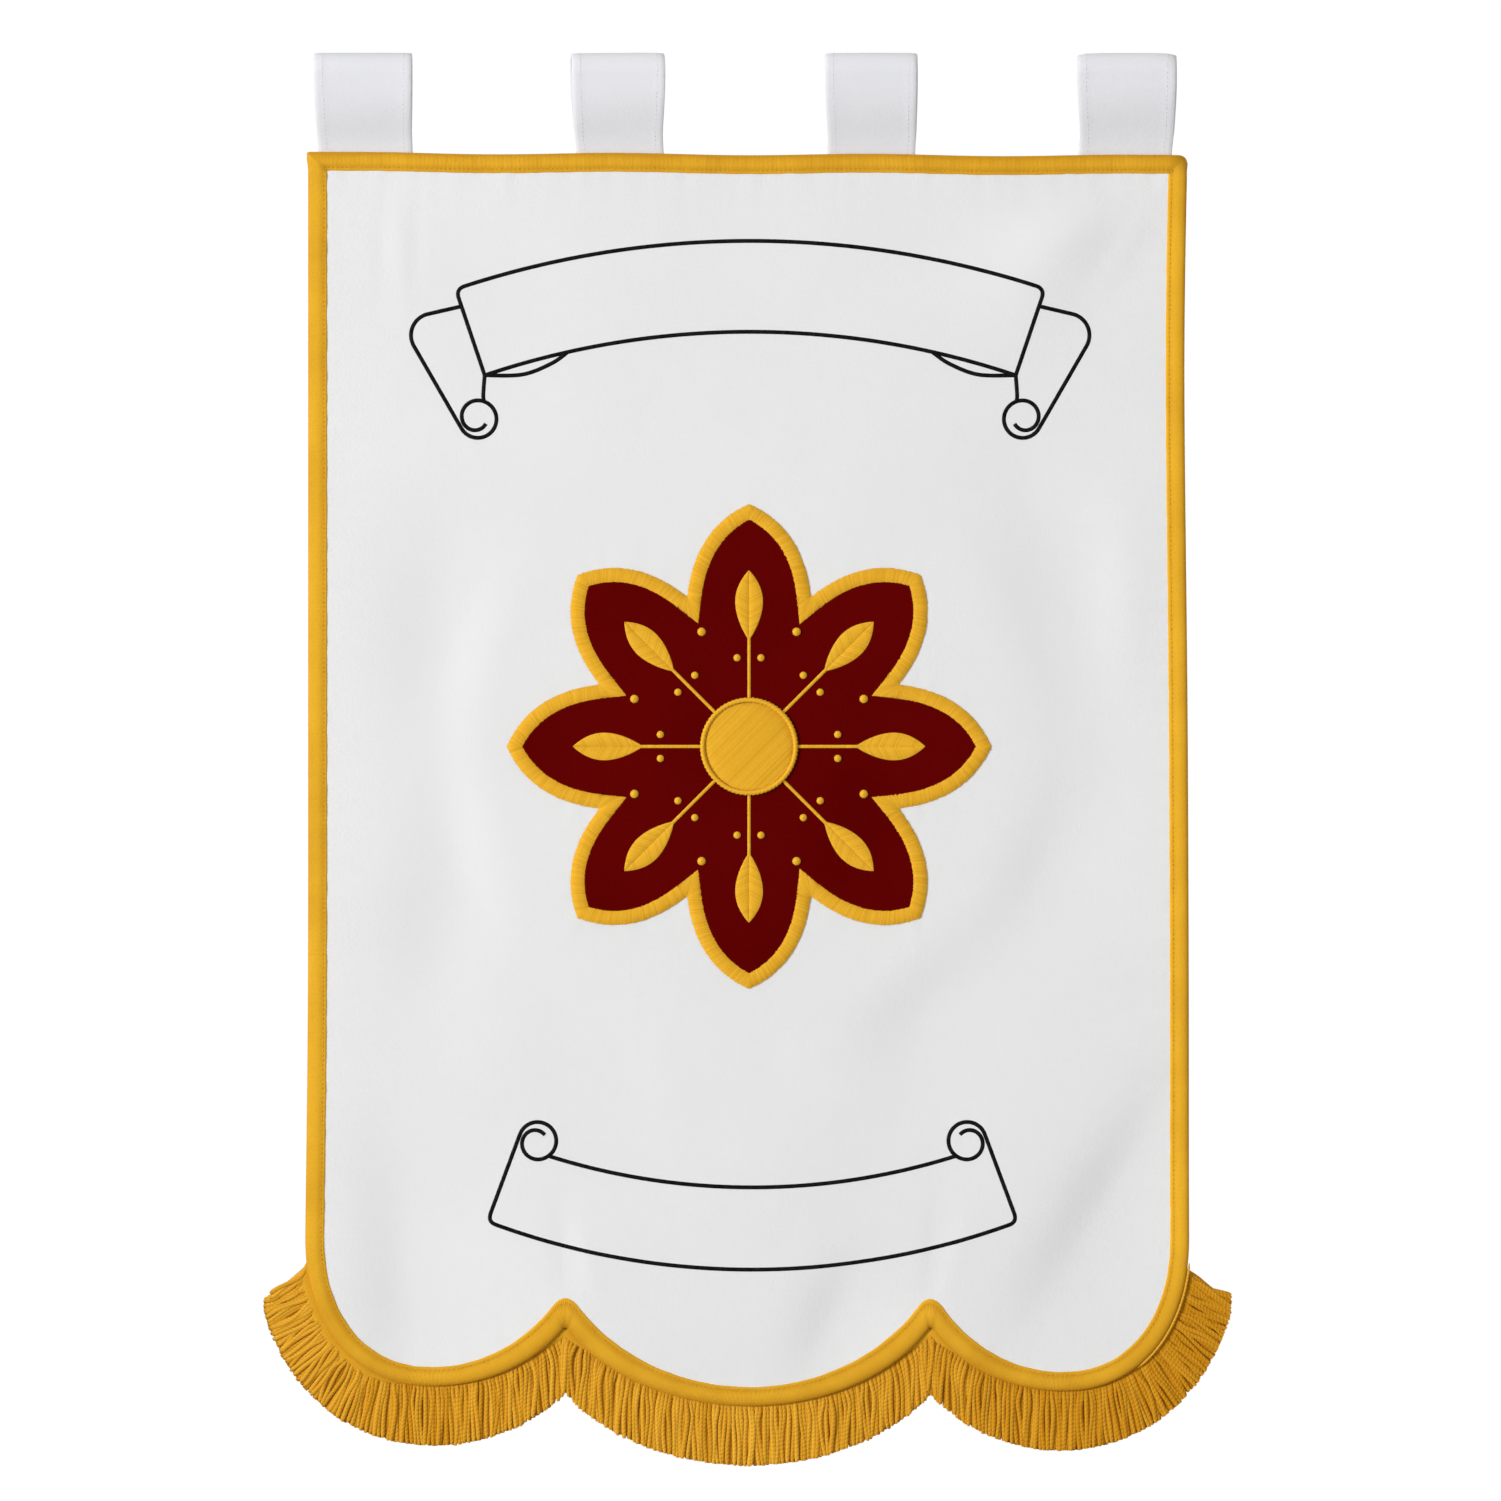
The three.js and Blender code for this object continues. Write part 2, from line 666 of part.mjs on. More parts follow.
const ROSETTE_SEAT = PANEL_Y - PANEL_THICKNESS / 2 - PIECE_GAP;

function rosettePlace(p, height) {
  return [ROSETTE_X + p.x, ROSETTE_SEAT - height, ROSETTE_Z + p.y];
}

// Border: a crowned band carried once round the outline
function rosetteBorderSolid() {
  const outer = rosettePoints();
  const rings = [
    { inset: 0, height: 0 },
    { inset: 0, height: BORDER_EDGE },
    { inset: BORDER_WIDTH / 2, height: BORDER_CROWN },
    { inset: BORDER_WIDTH, height: BORDER_EDGE },
    { inset: BORDER_WIDTH, height: 0 },
  ];
  const positions = [];
  const count = outer.length;
  for (const ring of rings) {
    for (const p of insetLoop(outer, ring.inset)) {
      positions.push(...rosettePlace(p, ring.height));
    }
  }
  const index = [];
  for (let r = 0; r < rings.length; r += 1) {
    const from = r * count;
    const to = ((r + 1) % rings.length) * count;
    for (let i = 0; i < count; i += 1) {
      const next = (i + 1) % count;
      index.push(from + i, from + next, to + next, from + i, to + next, to + i);
    }
  }
  return solidFrom(positions, index);
}

// Ground: flat cloth filling the border
function rosetteGroundSolid() {
  const loop = insetLoop(rosettePoints(), BORDER_WIDTH + PIECE_GAP);
  const positions = [];
  for (const height of [0, GROUND_THICKNESS]) {
    for (const p of loop) {
      positions.push(...rosettePlace(p, height));
    }
  }
  const count = loop.length;
  const index = [];
  for (const [a, b, c] of THREE.ShapeUtils.triangulateShape(loop, [])) {
    index.push(a, c, b, count + a, count + b, count + c);
  }
  for (let i = 0; i < count; i += 1) {
    const next = (i + 1) % count;
    index.push(i, next, count + next, i, count + next, count + i);
  }
  return solidFrom(positions, index);
}

// Centre: a low padded disc on the ground
function rosetteCentreSolid() {
  const profile = [
    new THREE.Vector2(0, 0),
    new THREE.Vector2(CENTRE_RADIUS, 0),
    new THREE.Vector2(CENTRE_RADIUS, CENTRE_EDGE),
    new THREE.Vector2(CENTRE_SHOULDER.radius, CENTRE_SHOULDER.height),
    new THREE.Vector2(0, CENTRE_CROWN),
  ];
  const positions = [];
  for (const p of profile) {
    for (let i = 0; i < CENTRE_SIDES; i += 1) {
      const angle = (Math.PI * 2 * i) / CENTRE_SIDES;
      const flat = new THREE.Vector2(p.x * Math.cos(angle), p.x * Math.sin(angle));
      positions.push(...rosettePlace(flat, GROUND_THICKNESS + PIECE_GAP + p.y));
      if (p.x === 0) {
        break;
      }
    }
  }
  const index = [];
  const crown = 1 + CENTRE_SIDES * 3;
  for (let i = 0; i < CENTRE_SIDES; i += 1) {
    const next = (i + 1) % CENTRE_SIDES;
    index.push(0, 1 + next, 1 + i);
    for (let r = 0; r < 2; r += 1) {
      const a = 1 + r * CENTRE_SIDES + i;
      const b = 1 + r * CENTRE_SIDES + next;
      index.push(a, b, b + CENTRE_SIDES, a, b + CENTRE_SIDES, a + CENTRE_SIDES);
    }
    index.push(1 + CENTRE_SIDES * 2 + i, 1 + CENTRE_SIDES * 2 + next, crown);
  }
  return solidFrom(positions, index);
}

// Assembly
const GOLD = 0xe0ac38;
const WHITE = 0xe9e9ea;
const DARK_RED = 0x620303;

const banner = new THREE.Group();
banner.name = "fraternal_banner";

function addPiece(name, geometry, color) {
  const mesh = new THREE.Mesh(geometry, new THREE.MeshStandardMaterial({ color, roughness: 0.8 }));
  mesh.name = name;
  banner.add(mesh);
}

addPiece("panel", panelSolid(), WHITE);
addPiece("binding_top", bindingTopSolid(), GOLD);
addPiece("binding_hem", bindingHemSolid(), GOLD);
addPiece("fringe", fringeSolid(), GOLD);
for (const tab of TABS) {
  addPiece(tab.name, tabSolid(tab), WHITE);
}
addPiece("rosette_border", rosetteBorderSolid(), GOLD);
addPiece("rosette_ground", rosetteGroundSolid(), DARK_RED);
addPiece("rosette_centre", rosetteCentreSolid(), GOLD);

export default banner;
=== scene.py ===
"""Fraternal banner: cloth, tape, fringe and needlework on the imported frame.

Shapes are worked out in millimetres, in the part's own frame, and become metres as each mesh is made.
"""
import math

import bpy
import numpy as np
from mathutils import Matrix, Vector


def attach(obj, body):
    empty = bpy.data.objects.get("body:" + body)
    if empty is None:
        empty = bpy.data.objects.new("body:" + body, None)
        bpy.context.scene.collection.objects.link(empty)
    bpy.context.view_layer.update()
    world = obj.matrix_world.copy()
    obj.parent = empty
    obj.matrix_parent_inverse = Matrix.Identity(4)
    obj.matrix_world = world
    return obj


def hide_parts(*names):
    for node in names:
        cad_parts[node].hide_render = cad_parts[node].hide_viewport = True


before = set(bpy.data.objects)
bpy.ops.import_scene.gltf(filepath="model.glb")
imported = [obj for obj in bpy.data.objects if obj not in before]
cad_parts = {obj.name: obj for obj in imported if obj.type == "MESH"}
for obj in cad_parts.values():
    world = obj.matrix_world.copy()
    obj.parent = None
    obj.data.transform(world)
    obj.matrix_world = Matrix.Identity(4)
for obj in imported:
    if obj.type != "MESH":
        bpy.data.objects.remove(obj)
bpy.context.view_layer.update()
MM = 0.001


def table(columns, *rows):
    """Rows of values under a line of column names."""
    return [dict(zip(columns.split(), row)) for row in rows]


# Cloth and tape
PIECE_GAP = 0.3
PANEL_THICKNESS = 1.2
PANEL_Y = -4.05
PANEL_FRONT = PANEL_Y - PANEL_THICKNESS / 2
PANEL_UNDER_BINDING = 6.0
BINDING_WIDTH = 13.5

# Outer edge of the bound cloth
BANNER_WIDTH = 610.0
TOP_Z = -54.2
TOP_TILT = -2.2
TOP_SAG = 1.3
TOP_OVERHANG = 1.4
CORNER_POWER = 2.2
LEFT_SIDE = [(-305.0, -53.1), (-305.0, -400.0), (-305.2, -640.0), (-307.0, -805.0)]
RIGHT_SIDE = [(304.6, -55.3), (302.6, -210.0), (305.0, -470.0), (306.0, -805.0)]
# The last column is the fringe's tone by scallop: painted shade at the right, away from the key light; darker
# at the left than in the middle as well
SCALLOPS = table(
    "x z fullness dye",
    (-219.0, -909.0, 1.2, 0.3),
    (1.4, -922.6, 1.12, 0.0),
    (217.7, -912.2, 1.17, 0.45),
)
NOTCHES = table("x fold lip", (-126.6, -867.4, -839.4), (126.6, -867.4, -840.0))

# Two rails carry the binding: its fold round the edge and its lips on the cloth
FOLD_RAIL = {"inset": 0.0, "notch": "fold", "trim": 3.0}
LIP_RAIL = {"inset": BINDING_WIDTH, "notch": "lip", "trim": 18.0}

# Steps along the edge, those of the hem times a density
HALF_SCALLOP_STEPS = 6
CORNER_STEPS = 8
NOTCH_STEPS = 4
SIDE_STEPS = 280
CURVE_STEPS = 40
BINDING_DENSITY = 6
PANEL_DENSITY = 3
FRINGE_DENSITY = 8

# Folds: soft ridges (relief above zero, forward) and troughs, each flank with its own width.
# Lean in degrees, foot to the left
FOLD_COLUMNS = "x z lean half_length left_width right_width relief"
FOLDS = table(
    FOLD_COLUMNS,
    (-212, -385, 5, 80, 38, 40, -3.4),
    (-205, -560, 8, 85, 36, 36, -3.4),
    (-234, -825, -3, 95, 32, 70, -5.2),
    (221, -106, 34, 60, 34, 28, 4.2),
    (224, -362, -18, 95, 42, 46, -3.4),
    (262, -364, 0, 55, 20, 22, 1.6),
    (218, -545, 27, 80, 38, 50, -3.0),
    (122, -665, 10, 75, 38, 60, -3.2),
    (246, -790, 30, 88, 24, 60, -5.4),
    (62, -862, 24, 46, 21, 50, -4.0),
)
TOP_LEVEL = 16.0
TOP_FADE = 48.0
ROSETTE_FLAT = 176.0
ROSETTE_FADE = 46.0

# Finer creases, too low for the solids
CREASES = table(
    FOLD_COLUMNS,
    (-254, -118, 2, 34, 4, 4, -0.35),
    (-240, -130, -3, 40, 5, 5, 0.35),
    (-229, -112, 1, 28, 4, 4, -0.3),
    (262, -118, 30, 30, 6, 8, 0.5),
    (-128, -815, -3, 34, 7, 12, -0.5),
    (-112, -820, -14, 30, 6, 10, 0.4),
    (128, -815, 5, 36, 7, 12, -0.5),
    (143, -822, 16, 30, 6, 10, 0.4),
    (20, -640, 8, 60, 12, 20, -0.4),
    (-60, -690, -6, 50, 12, 20, 0.4),
)

# Place of the rosette and its petals
ROSETTE_X = 0.7
ROSETTE_Z = -465.4
PETALS = 8
HALF_PETAL = math.pi / PETALS
PETAL_TIP = 168.0
PETAL_VALLEY = 112.0
PETAL_BULGE = 156.0
PETAL_BULGE_TURN = 0.62

# Tabs
TAB_THICKNESS = 1.5
TAB_LOOP_RADIUS = 14.5
TAB_LOOP_TURN = math.pi * 0.55
TAB_LOOP_EASE = (8.0, 26.0)
TAB_STRAIGHT_SHARE = 0.72
TAB_TAIL = 28.0
TABS = table(
    "name centre top base shift arch skew",
    ("tab_1", -266.5, 68.0, 65.5, 1.0, 0.5, -1.2),
    ("tab_2", -89.5, 64.5, 60.5, 0.7, 0.8, -2.3),
    ("tab_3", 84.9, 63.8, 61.0, 0.5, 0.8, 1.4),
    ("tab_4", 261.7, 68.6, 64.5, 0.0, 2.0, 2.6),
)


# Mesh building

def make_piece(name, points, faces, material, uv=None, tone=None):
    """One mesh object from points in millimetres and arrays of faces, riding on the frame's body."""
    groups = [np.asarray(f, np.int64) for f in faces if len(f)]
    loops = np.concatenate([g.ravel() for g in groups])
    sizes = np.concatenate([np.full(len(g), g.shape[1]) for g in groups])
    starts = np.concatenate([[0], np.cumsum(sizes)[:-1]])
    points = points.reshape(-1, 3)
    mesh = bpy.data.meshes.new(name)
    mesh.vertices.add(len(points))
    mesh.vertices.foreach_set("co", (points * MM).ravel())
    mesh.loops.add(len(loops))
    mesh.loops.foreach_set("vertex_index", loops)
    mesh.polygons.add(len(sizes))
    mesh.polygons.foreach_set("loop_start", starts)
    mesh.polygons.foreach_set("use_smooth", np.full(len(sizes), True))
    if uv is not None:
        layer = mesh.uv_layers.new(name="UVMap")
        layer.data.foreach_set("uv", np.asarray(uv, np.float32).ravel())
    mesh.update(calc_edges=True)
    if tone is not None:
        attribute = mesh.attributes.new("tone", "FLOAT", "POINT")
        attribute.data.foreach_set("value", np.asarray(tone, np.float32))
    mesh.materials.append(material)
    piece = bpy.data.objects.new(name, mesh)
    bpy.context.scene.collection.objects.link(piece)
    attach(piece, "root")
    return piece


def sewn_piece(name, parts, material):
    """Several (points, quads, tones) sets of needlework as one piece."""
    points, quads, tones = zip(*parts)
    offsets = np.cumsum([0] + [len(p) for p in points[:-1]])
    faces = np.concatenate([q + offset for q, offset in zip(quads, offsets)])
    return make_piece(name, np.concatenate(points), [faces], material, tone=np.concatenate(tones))


def ring_quads(rings, around, wrap=True):
    """Quads joining each ring of points to the next."""
    k = np.arange(around if wrap else around - 1)
    i = np.arange(rings - 1)[:, None]
    a = i * around + k
    b = i * around + (k + 1) % around
    return np.stack([a, a + around, b + around, b], -1).reshape(-1, 4)


def ring_uv(lengths, around):
    """Corner coordinates for ring_quads: turn around the section, and length along it in metres."""
    grid = np.stack(np.meshgrid(np.arange(around + 1) / around, lengths), -1)
    corners = [grid[:-1, :-1], grid[1:, :-1], grid[1:, 1:], grid[:-1, 1:]]
    return np.stack(corners, -2).reshape(-1, 2)


def repeat_faces(faces, count, stride):
    """The same faces for count copies of a mesh of stride points."""
    offsets = (np.arange(count) * stride)[:, None, None]
    return (faces[None] + offsets).reshape(-1, faces.shape[1])


def thread_tones(count, each):
    """A tone of its own for each thread or stitch, on all of its points."""
    return np.repeat(np.random.default_rng(count).uniform(0, 1, count), each)


# Curves

def turns(count):
    return np.linspace(0, 2 * math.pi, count, endpoint=False)


def unit(vectors):
    return vectors / np.linalg.norm(vectors, axis=-1, keepdims=True)


def left_of(way):
    """Each way of a plane, turned a quarter to the left."""
    return np.stack([-way[..., 1], way[..., 0]], -1)


def ways_along(points):
    return unit(np.gradient(points, axis=0))


def inward_of(points):
    """Unit way into the cloth at each point of an edge that has the cloth on its left."""
    return left_of(ways_along(points))


def bezier(t, start, control, end):
    return (1 - t) ** 2 * start + 2 * t * (1 - t) * control + t**2 * end


def path_length(points):
    steps = np.linalg.norm(np.diff(points, axis=0), axis=1)
    return np.concatenate([[0], np.cumsum(steps)])


def at_lengths(at, lengths, points):
    """Points at given lengths along a run."""
    return np.stack([np.interp(at, lengths, points[:, k]) for k in range(points.shape[1])], -1)


def resample(points, count):
    """count points, evenly spaced along a run of points."""
    lengths = path_length(points)
    return at_lengths(np.linspace(0, lengths[-1], count), lengths, points)


def smooth_run(points, count):
    """A Catmull-Rom curve through a few points, evenly sampled."""
    p = np.asarray(points, float)
    q = np.concatenate([p[:1], p, p[-1:]])
    t = np.linspace(0, 1, CURVE_STEPS, endpoint=False)[:, None]
    parts = []
    for a, b, c, d in zip(q, q[1:], q[2:], q[3:]):
        v0, v1 = (c - a) / 2, (d - b) / 2
        parts.append((2 * b - 2 * c + v0 + v1) * t**3 + (3 * c - 3 * b - 2 * v0 - v1) * t**2 + v0 * t + b)
    parts.append(p[-1:])
    return resample(np.concatenate(parts), count)


def smoothstep(t):
    s = np.clip(t, 0, 1)
    return s * s * (3 - 2 * s)


def waver(s, lengths, seed):
    """A smooth uneven wave along s, made of a few wavelengths with seeded phases."""
    phases = np.random.default_rng(seed).uniform(0, 2 * math.pi, len(lengths))
    total = sum(np.sin(2 * math.pi * s / w + p) for w, p in zip(lengths, phases))
    return total / len(lengths)


# The hanging cloth

def top_edge_z(x):
    """Height of the top edge, which sags a little between the tabs."""
    x = np.asarray(x, float)
    sag = np.zeros_like(x)
    for a, b in zip(TABS, TABS[1:]):
        inside = (x > a["centre"]) & (x < b["centre"])
        turn = math.pi * (x - a["centre"]) / (b["centre"] - a["centre"])
        sag = np.where(inside, np.sin(turn) ** 2, sag)
    return TOP_Z + TOP_TILT * x / BANNER_WIDTH - TOP_SAG * sag


def relief_of(rows, x, z):
    relief = np.zeros_like(x)
    for fold in rows:
        lean = math.radians(fold["lean"])
        dx, dz = x - fold["x"], z - fold["z"]
        along = (dx * math.sin(lean) + dz * math.cos(lean)) / fold["half_length"]
        aside = dx * math.cos(lean) - dz * math.sin(lean)
        across = aside / np.where(aside < 0, fold["left_width"], fold["right_width"])
        relief += fold["relief"] * np.exp(-(along**2) - across**2)
    return relief


def cloth_y(flat):
    """Depth of the cloth's middle at points of the front view."""
    x, z = flat[..., 0], flat[..., 1]
    top = smoothstep((top_edge_z(x) - TOP_LEVEL - z) / TOP_FADE)
    away = np.hypot(x - ROSETTE_X, z - ROSETTE_Z)
    fade = smoothstep((away - ROSETTE_FLAT) / ROSETTE_FADE)
    return PANEL_Y - (relief_of(FOLDS, x, z) * top + relief_of(CREASES, x, z)) * fade


def at_depth(flat, y):
    """Points of the front view, each at its depth."""
    return np.stack([flat[..., 0], np.broadcast_to(y, flat.shape[:-1]), flat[..., 1]], -1)


def scallop_half(scallop, notch, steps, rail):
    """Half a scallop from its bottom out to a notch, as part of an ellipse."""
    bottom = scallop["z"] + rail["inset"]
    half = abs(notch["x"] - scallop["x"])
    side = np.sign(notch["x"] - scallop["x"])
    rise = notch[rail["notch"]] - bottom
    a = half * scallop["fullness"]
    b = rise / (1 - math.sqrt(1 - (half / a) ** 2))
    turn = math.asin(half / a) * (1 - rail["trim"] / math.hypot(half, rise))
    t = np.linspace(0, turn, steps + 1)
    return np.stack([scallop["x"] + side * a * np.sin(t), bottom + b * (1 - np.cos(t))], -1)


def corner_run(foot, scallop, steps, rail):
    """A lower corner from the foot of a side round to a scallop's bottom."""
    side = np.sign(foot[0] - scallop["x"])
    reach = foot[0] - scallop["x"] - side * rail["inset"]
    bottom = scallop["z"] + rail["inset"]
    t = np.linspace(0, math.pi / 2, steps + 1)
    power = 2 / CORNER_POWER
    x = scallop["x"] + reach * np.clip(np.cos(t), 0, 1) ** power
    z = bottom + (foot[1] - bottom) * (1 - np.sin(t) ** power)
    return np.stack([x, z], -1)


def notch_run(start, notch, end, steps, rail):
    t = np.linspace(0, 1, steps + 1)[1:-1, None]
    return bezier(t, start, np.array([notch["x"], notch[rail["notch"]]]), end)


def hem_line(density, rail):
    """One rail of the hem, from the foot of the left side to the foot of the right side."""
    half, corner, notch = (density * steps for steps in (HALF_SCALLOP_STEPS, CORNER_STEPS, NOTCH_STEPS))
    left = scallop_half(SCALLOPS[0], NOTCHES[0], half, rail)
    middle_left = scallop_half(SCALLOPS[1], NOTCHES[0], half, rail)[::-1]
    middle_right = scallop_half(SCALLOPS[1], NOTCHES[1], half, rail)
    right = scallop_half(SCALLOPS[2], NOTCHES[1], half, rail)[::-1]
    return np.concatenate([
        corner_run(LEFT_SIDE[-1], SCALLOPS[0], corner, rail)[:-1],
        left,
        notch_run(left[-1], NOTCHES[0], middle_left[0], notch, rail),
        middle_left[:-1],
        middle_right,
        notch_run(middle_right[-1], NOTCHES[1], right[0], notch, rail),
        right[:-1],
        corner_run(RIGHT_SIDE[-1], SCALLOPS[2], corner, rail)[::-1],
    ])


def edge_line(rail):
    """One rail down the left side, round the hem and up the right side."""
    left = smooth_run(LEFT_SIDE, SIDE_STEPS + 1) + [rail["inset"], 0]
    right = smooth_run(RIGHT_SIDE, SIDE_STEPS + 1)[::-1] - [rail["inset"], 0]
    return np.concatenate([left[:-1], hem_line(BINDING_DENSITY, rail), right[1:]])


def top_line(count):
    x = np.linspace(RIGHT_SIDE[0][0], LEFT_SIDE[0][0], count)
    return np.stack([x, top_edge_z(x)], -1)


ROUND_EDGE = edge_line(FOLD_RAIL)


# Materials

PLAIN_TINT = (1.0, 1.0, 1.0)
GOLD_TINT = (1.0, 0.66, 0.12)
DARK_RED_TINT = (0.35, 0.02, 0.02)
BLACK_TINT = (0.1, 0.1, 0.1)
SHEEN_ROUGHNESS = 0.4
NOISE_MIDDLE = (0.3, 0.7)
THREAD_SHADE = (0.12, 0.1)


def principled(name, roughness, sheen=0.0, specular=0.3, tint=PLAIN_TINT):
    material = bpy.data.materials.new(name)
    material.use_nodes = True
    shader = material.node_tree.nodes["Principled BSDF"]
    values = {"Roughness": roughness, "Sheen Weight": sheen, "Sheen Roughness": SHEEN_ROUGHNESS,
              "Sheen Tint": (*tint, 1.0), "Specular IOR Level": specular, "Specular Tint": (*tint, 1.0)}
    for socket, value in values.items():
        shader.inputs[socket].default_value = value
    return material, material.node_tree, shader


def add_node(tree, kind, settings=(), **inputs):
    """A node with settings on itself, and input sockets set to values or linked to other sockets."""
    node = tree.nodes.new(kind)
    for key, value in dict(settings).items():
        setattr(node, key, value)
    for key, value in inputs.items():
        socket = node.inputs[int(key[1:])] if key[0] == "_" else node.inputs[key]
        if isinstance(value, bpy.types.NodeSocket):
            tree.links.new(value, socket)
        else:
            socket.default_value = value
    return node


def math_node(tree, operation, first, second=0.0, third=0.0):
    values = {"_0": first, "_1": second, "_2": third}
    return add_node(tree, "ShaderNodeMath", {"operation": operation}, **values).outputs[0]


def added(tree, first, second):
    return math_node(tree, "ADD", first, second)


def scaled(tree, value, factor):
    return math_node(tree, "MULTIPLY", value, factor)


def stripes(tree, value, pitch):
    """A sine from -1 to 1 along a length in metres."""
    return math_node(tree, "SINE", scaled(tree, value, 2 * math.pi / pitch))


def spread(tree, value, low, high):
    """Stretches the middle of a noise to the range low to high."""
    values = {"_0": value, "_1": NOISE_MIDDLE[0], "_2": NOISE_MIDDLE[1], "_3": low, "_4": high}
    return add_node(tree, "ShaderNodeMapRange", **values).outputs[0]


def uneven(tree, place, scale, low, high, detail=3.0):
    """A noise over a place, from low to high."""
    noise = add_node(tree, "ShaderNodeTexNoise", Vector=place, Scale=scale, Detail=detail)
    return spread(tree, noise.outputs["Fac"], low, high)


def place_in(tree, space):
    return add_node(tree, "ShaderNodeTexCoord").outputs[space]


def axes_of(tree, place):
    return add_node(tree, "ShaderNodeSeparateXYZ", Vector=place).outputs


def own_tone(tree):
    return add_node(tree, "ShaderNodeAttribute", {"attribute_name": "tone"}).outputs["Fac"]


def bump(tree, shader, height, distance):
    node = add_node(tree, "ShaderNodeBump", Height=height, Distance=distance, Strength=1.0)
    tree.links.new(node.outputs[0], shader.inputs["Normal"])


def dye(tree, shader, tone, light, dark):
    """Colours a surface from light, at tone 0, to dark, at tone 1."""
    colours = {"_6": (*light, 1.0), "_7": (*dark, 1.0)}
    mix = add_node(tree, "ShaderNodeMix", {"data_type": "RGBA"}, _0=tone, **colours)
    tree.links.new(mix.outputs[2], shader.inputs["Base Color"])


def woven_cloth(name, light, dark, pitch, depth, sheen=0.1, specular=0.2, tint=PLAIN_TINT):
    """Plain-woven cloth: crossing threads, slubs and a faint unevenness of tone."""
    material, tree, shader = principled(name, roughness=0.85, sheen=sheen, specular=specular, tint=tint)
    place = place_in(tree, "Object")
    axes = axes_of(tree, place)
    wander = uneven(tree, place, scale=90.0, low=-0.2 * pitch, high=0.2 * pitch)
    warp = stripes(tree, added(tree, axes[0], wander), pitch)
    weft = stripes(tree, added(tree, axes[2], wander), pitch)
    weave = scaled(tree, warp, weft)
    slub = uneven(tree, place, scale=420.0, low=-0.6, high=0.6, detail=2.0)
    bump(tree, shader, added(tree, weave, slub), depth)
    cloudy = uneven(tree, place, scale=9.0, low=0.0, high=0.7, detail=4.0)
    thread = math_node(tree, "MULTIPLY_ADD", weave, *THREAD_SHADE)
    dye(tree, shader, added(tree, cloudy, thread), light, dark)
    return material


def satin_tape(name, light, dark, rib=0.0009):
    """Folded ribbon: fine ribs across, painted shade at its fold, in its stitched groove and on its top and
    hem runs, and slightly uneven colour.
    """
    material, tree, shader = principled(name, roughness=0.5, sheen=0.2, specular=0.35, tint=GOLD_TINT)
    along = axes_of(tree, place_in(tree, "UV"))[1]
    place = place_in(tree, "Object")
    wander = uneven(tree, place, scale=160.0, low=-0.0002, high=0.0002)
    ribs = stripes(tree, added(tree, along, wander), rib)
    grain = uneven(tree, place, scale=700.0, low=-0.5, high=0.5, detail=2.0)
    bump(tree, shader, added(tree, ribs, grain), distance=0.00006)
    patches = uneven(tree, place, scale=28.0, low=-0.2, high=0.2)
    dye(tree, shader, added(tree, own_tone(tree), patches), light, dark)
    return material


def twisted_yarn(name, light, dark, plies=2.0, twist=0.0026):
    """Plied cord: slanting plies from turn and length, painted shade in the grooves between plies, and a tone
    for each strand that carries painted shade as well as its own.
    """
    material, tree, shader = principled(name, roughness=0.55, sheen=0.2, specular=0.3, tint=GOLD_TINT)
    axes = axes_of(tree, place_in(tree, "UV"))
    spiral = added(tree, scaled(tree, axes[0], plies), scaled(tree, axes[1], 1.0 / twist))
    ply = stripes(tree, spiral, 1.0)
    bump(tree, shader, ply, distance=0.0001)
    # Painted shade: the grooves between the plies darker, the plies' crowns lighter
    groove = spread(tree, ply, low=0.12, high=-0.06)
    dye(tree, shader, added(tree, own_tone(tree), groove), light, dark)
    return material


def stitch_thread(name, light, dark, tint):
    """Embroidery thread: each strand a little lighter or darker, with a soft gleam."""
    material, tree, shader = principled(name, roughness=0.5, sheen=0.15, specular=0.35, tint=tint)
    fibre = uneven(tree, place_in(tree, "Object"), scale=900.0, low=-0.2, high=0.2, detail=2.0)
    bump(tree, shader, fibre, distance=0.0001)
    dye(tree, shader, added(tree, own_tone(tree), fibre), light, dark)
    return material


def plain_surface(name, colour, glow=0.0):
    material, _, shader = principled(name, roughness=0.9)
    shader.inputs["Base Color"].default_value = (*colour, 1.0)
    shader.inputs["Emission Color"].default_value = (1.0, 1.0, 1.0, 1.0)
    shader.inputs["Emission Strength"].default_value = glow
    return material


WHITE_CLOTH = woven_cloth("white_cloth", (0.79, 0.79, 0.79), (0.755, 0.757, 0.758), 0.0008, 0.00005)
TAB_CLOTH = woven_cloth("tab_cloth", (0.765, 0.765, 0.79), (0.725, 0.727, 0.755), 0.0008, 0.00005)
RED_CLOTH = woven_cloth("dark_red_cloth", (0.135, 0.0012, 0.0012), (0.1, 0.0006, 0.0006), 0.0007, 0.0001,
                        0.03, 0.05, DARK_RED_TINT)
GOLD_TAPE = satin_tape("gold_tape", (0.81, 0.43, 0.026), (0.575, 0.27, 0.012))
GOLD_YARN = twisted_yarn("gold_yarn", (0.77, 0.40, 0.034), (0.53, 0.222, 0.007))
GOLD_THREAD = stitch_thread("gold_thread", (0.80, 0.435, 0.03), (0.68, 0.345, 0.018), GOLD_TINT)
TAPE_THREAD = stitch_thread("tape_thread", (0.74, 0.38, 0.02), (0.60, 0.28, 0.012), GOLD_TINT)
WHITE_THREAD = stitch_thread("white_thread", (0.80, 0.80, 0.81), (0.70, 0.70, 0.72), PLAIN_TINT)
BLACK_THREAD = stitch_thread("black_thread", (0.010, 0.010, 0.011), (0.003, 0.003, 0.003), BLACK_TINT)


# Panel

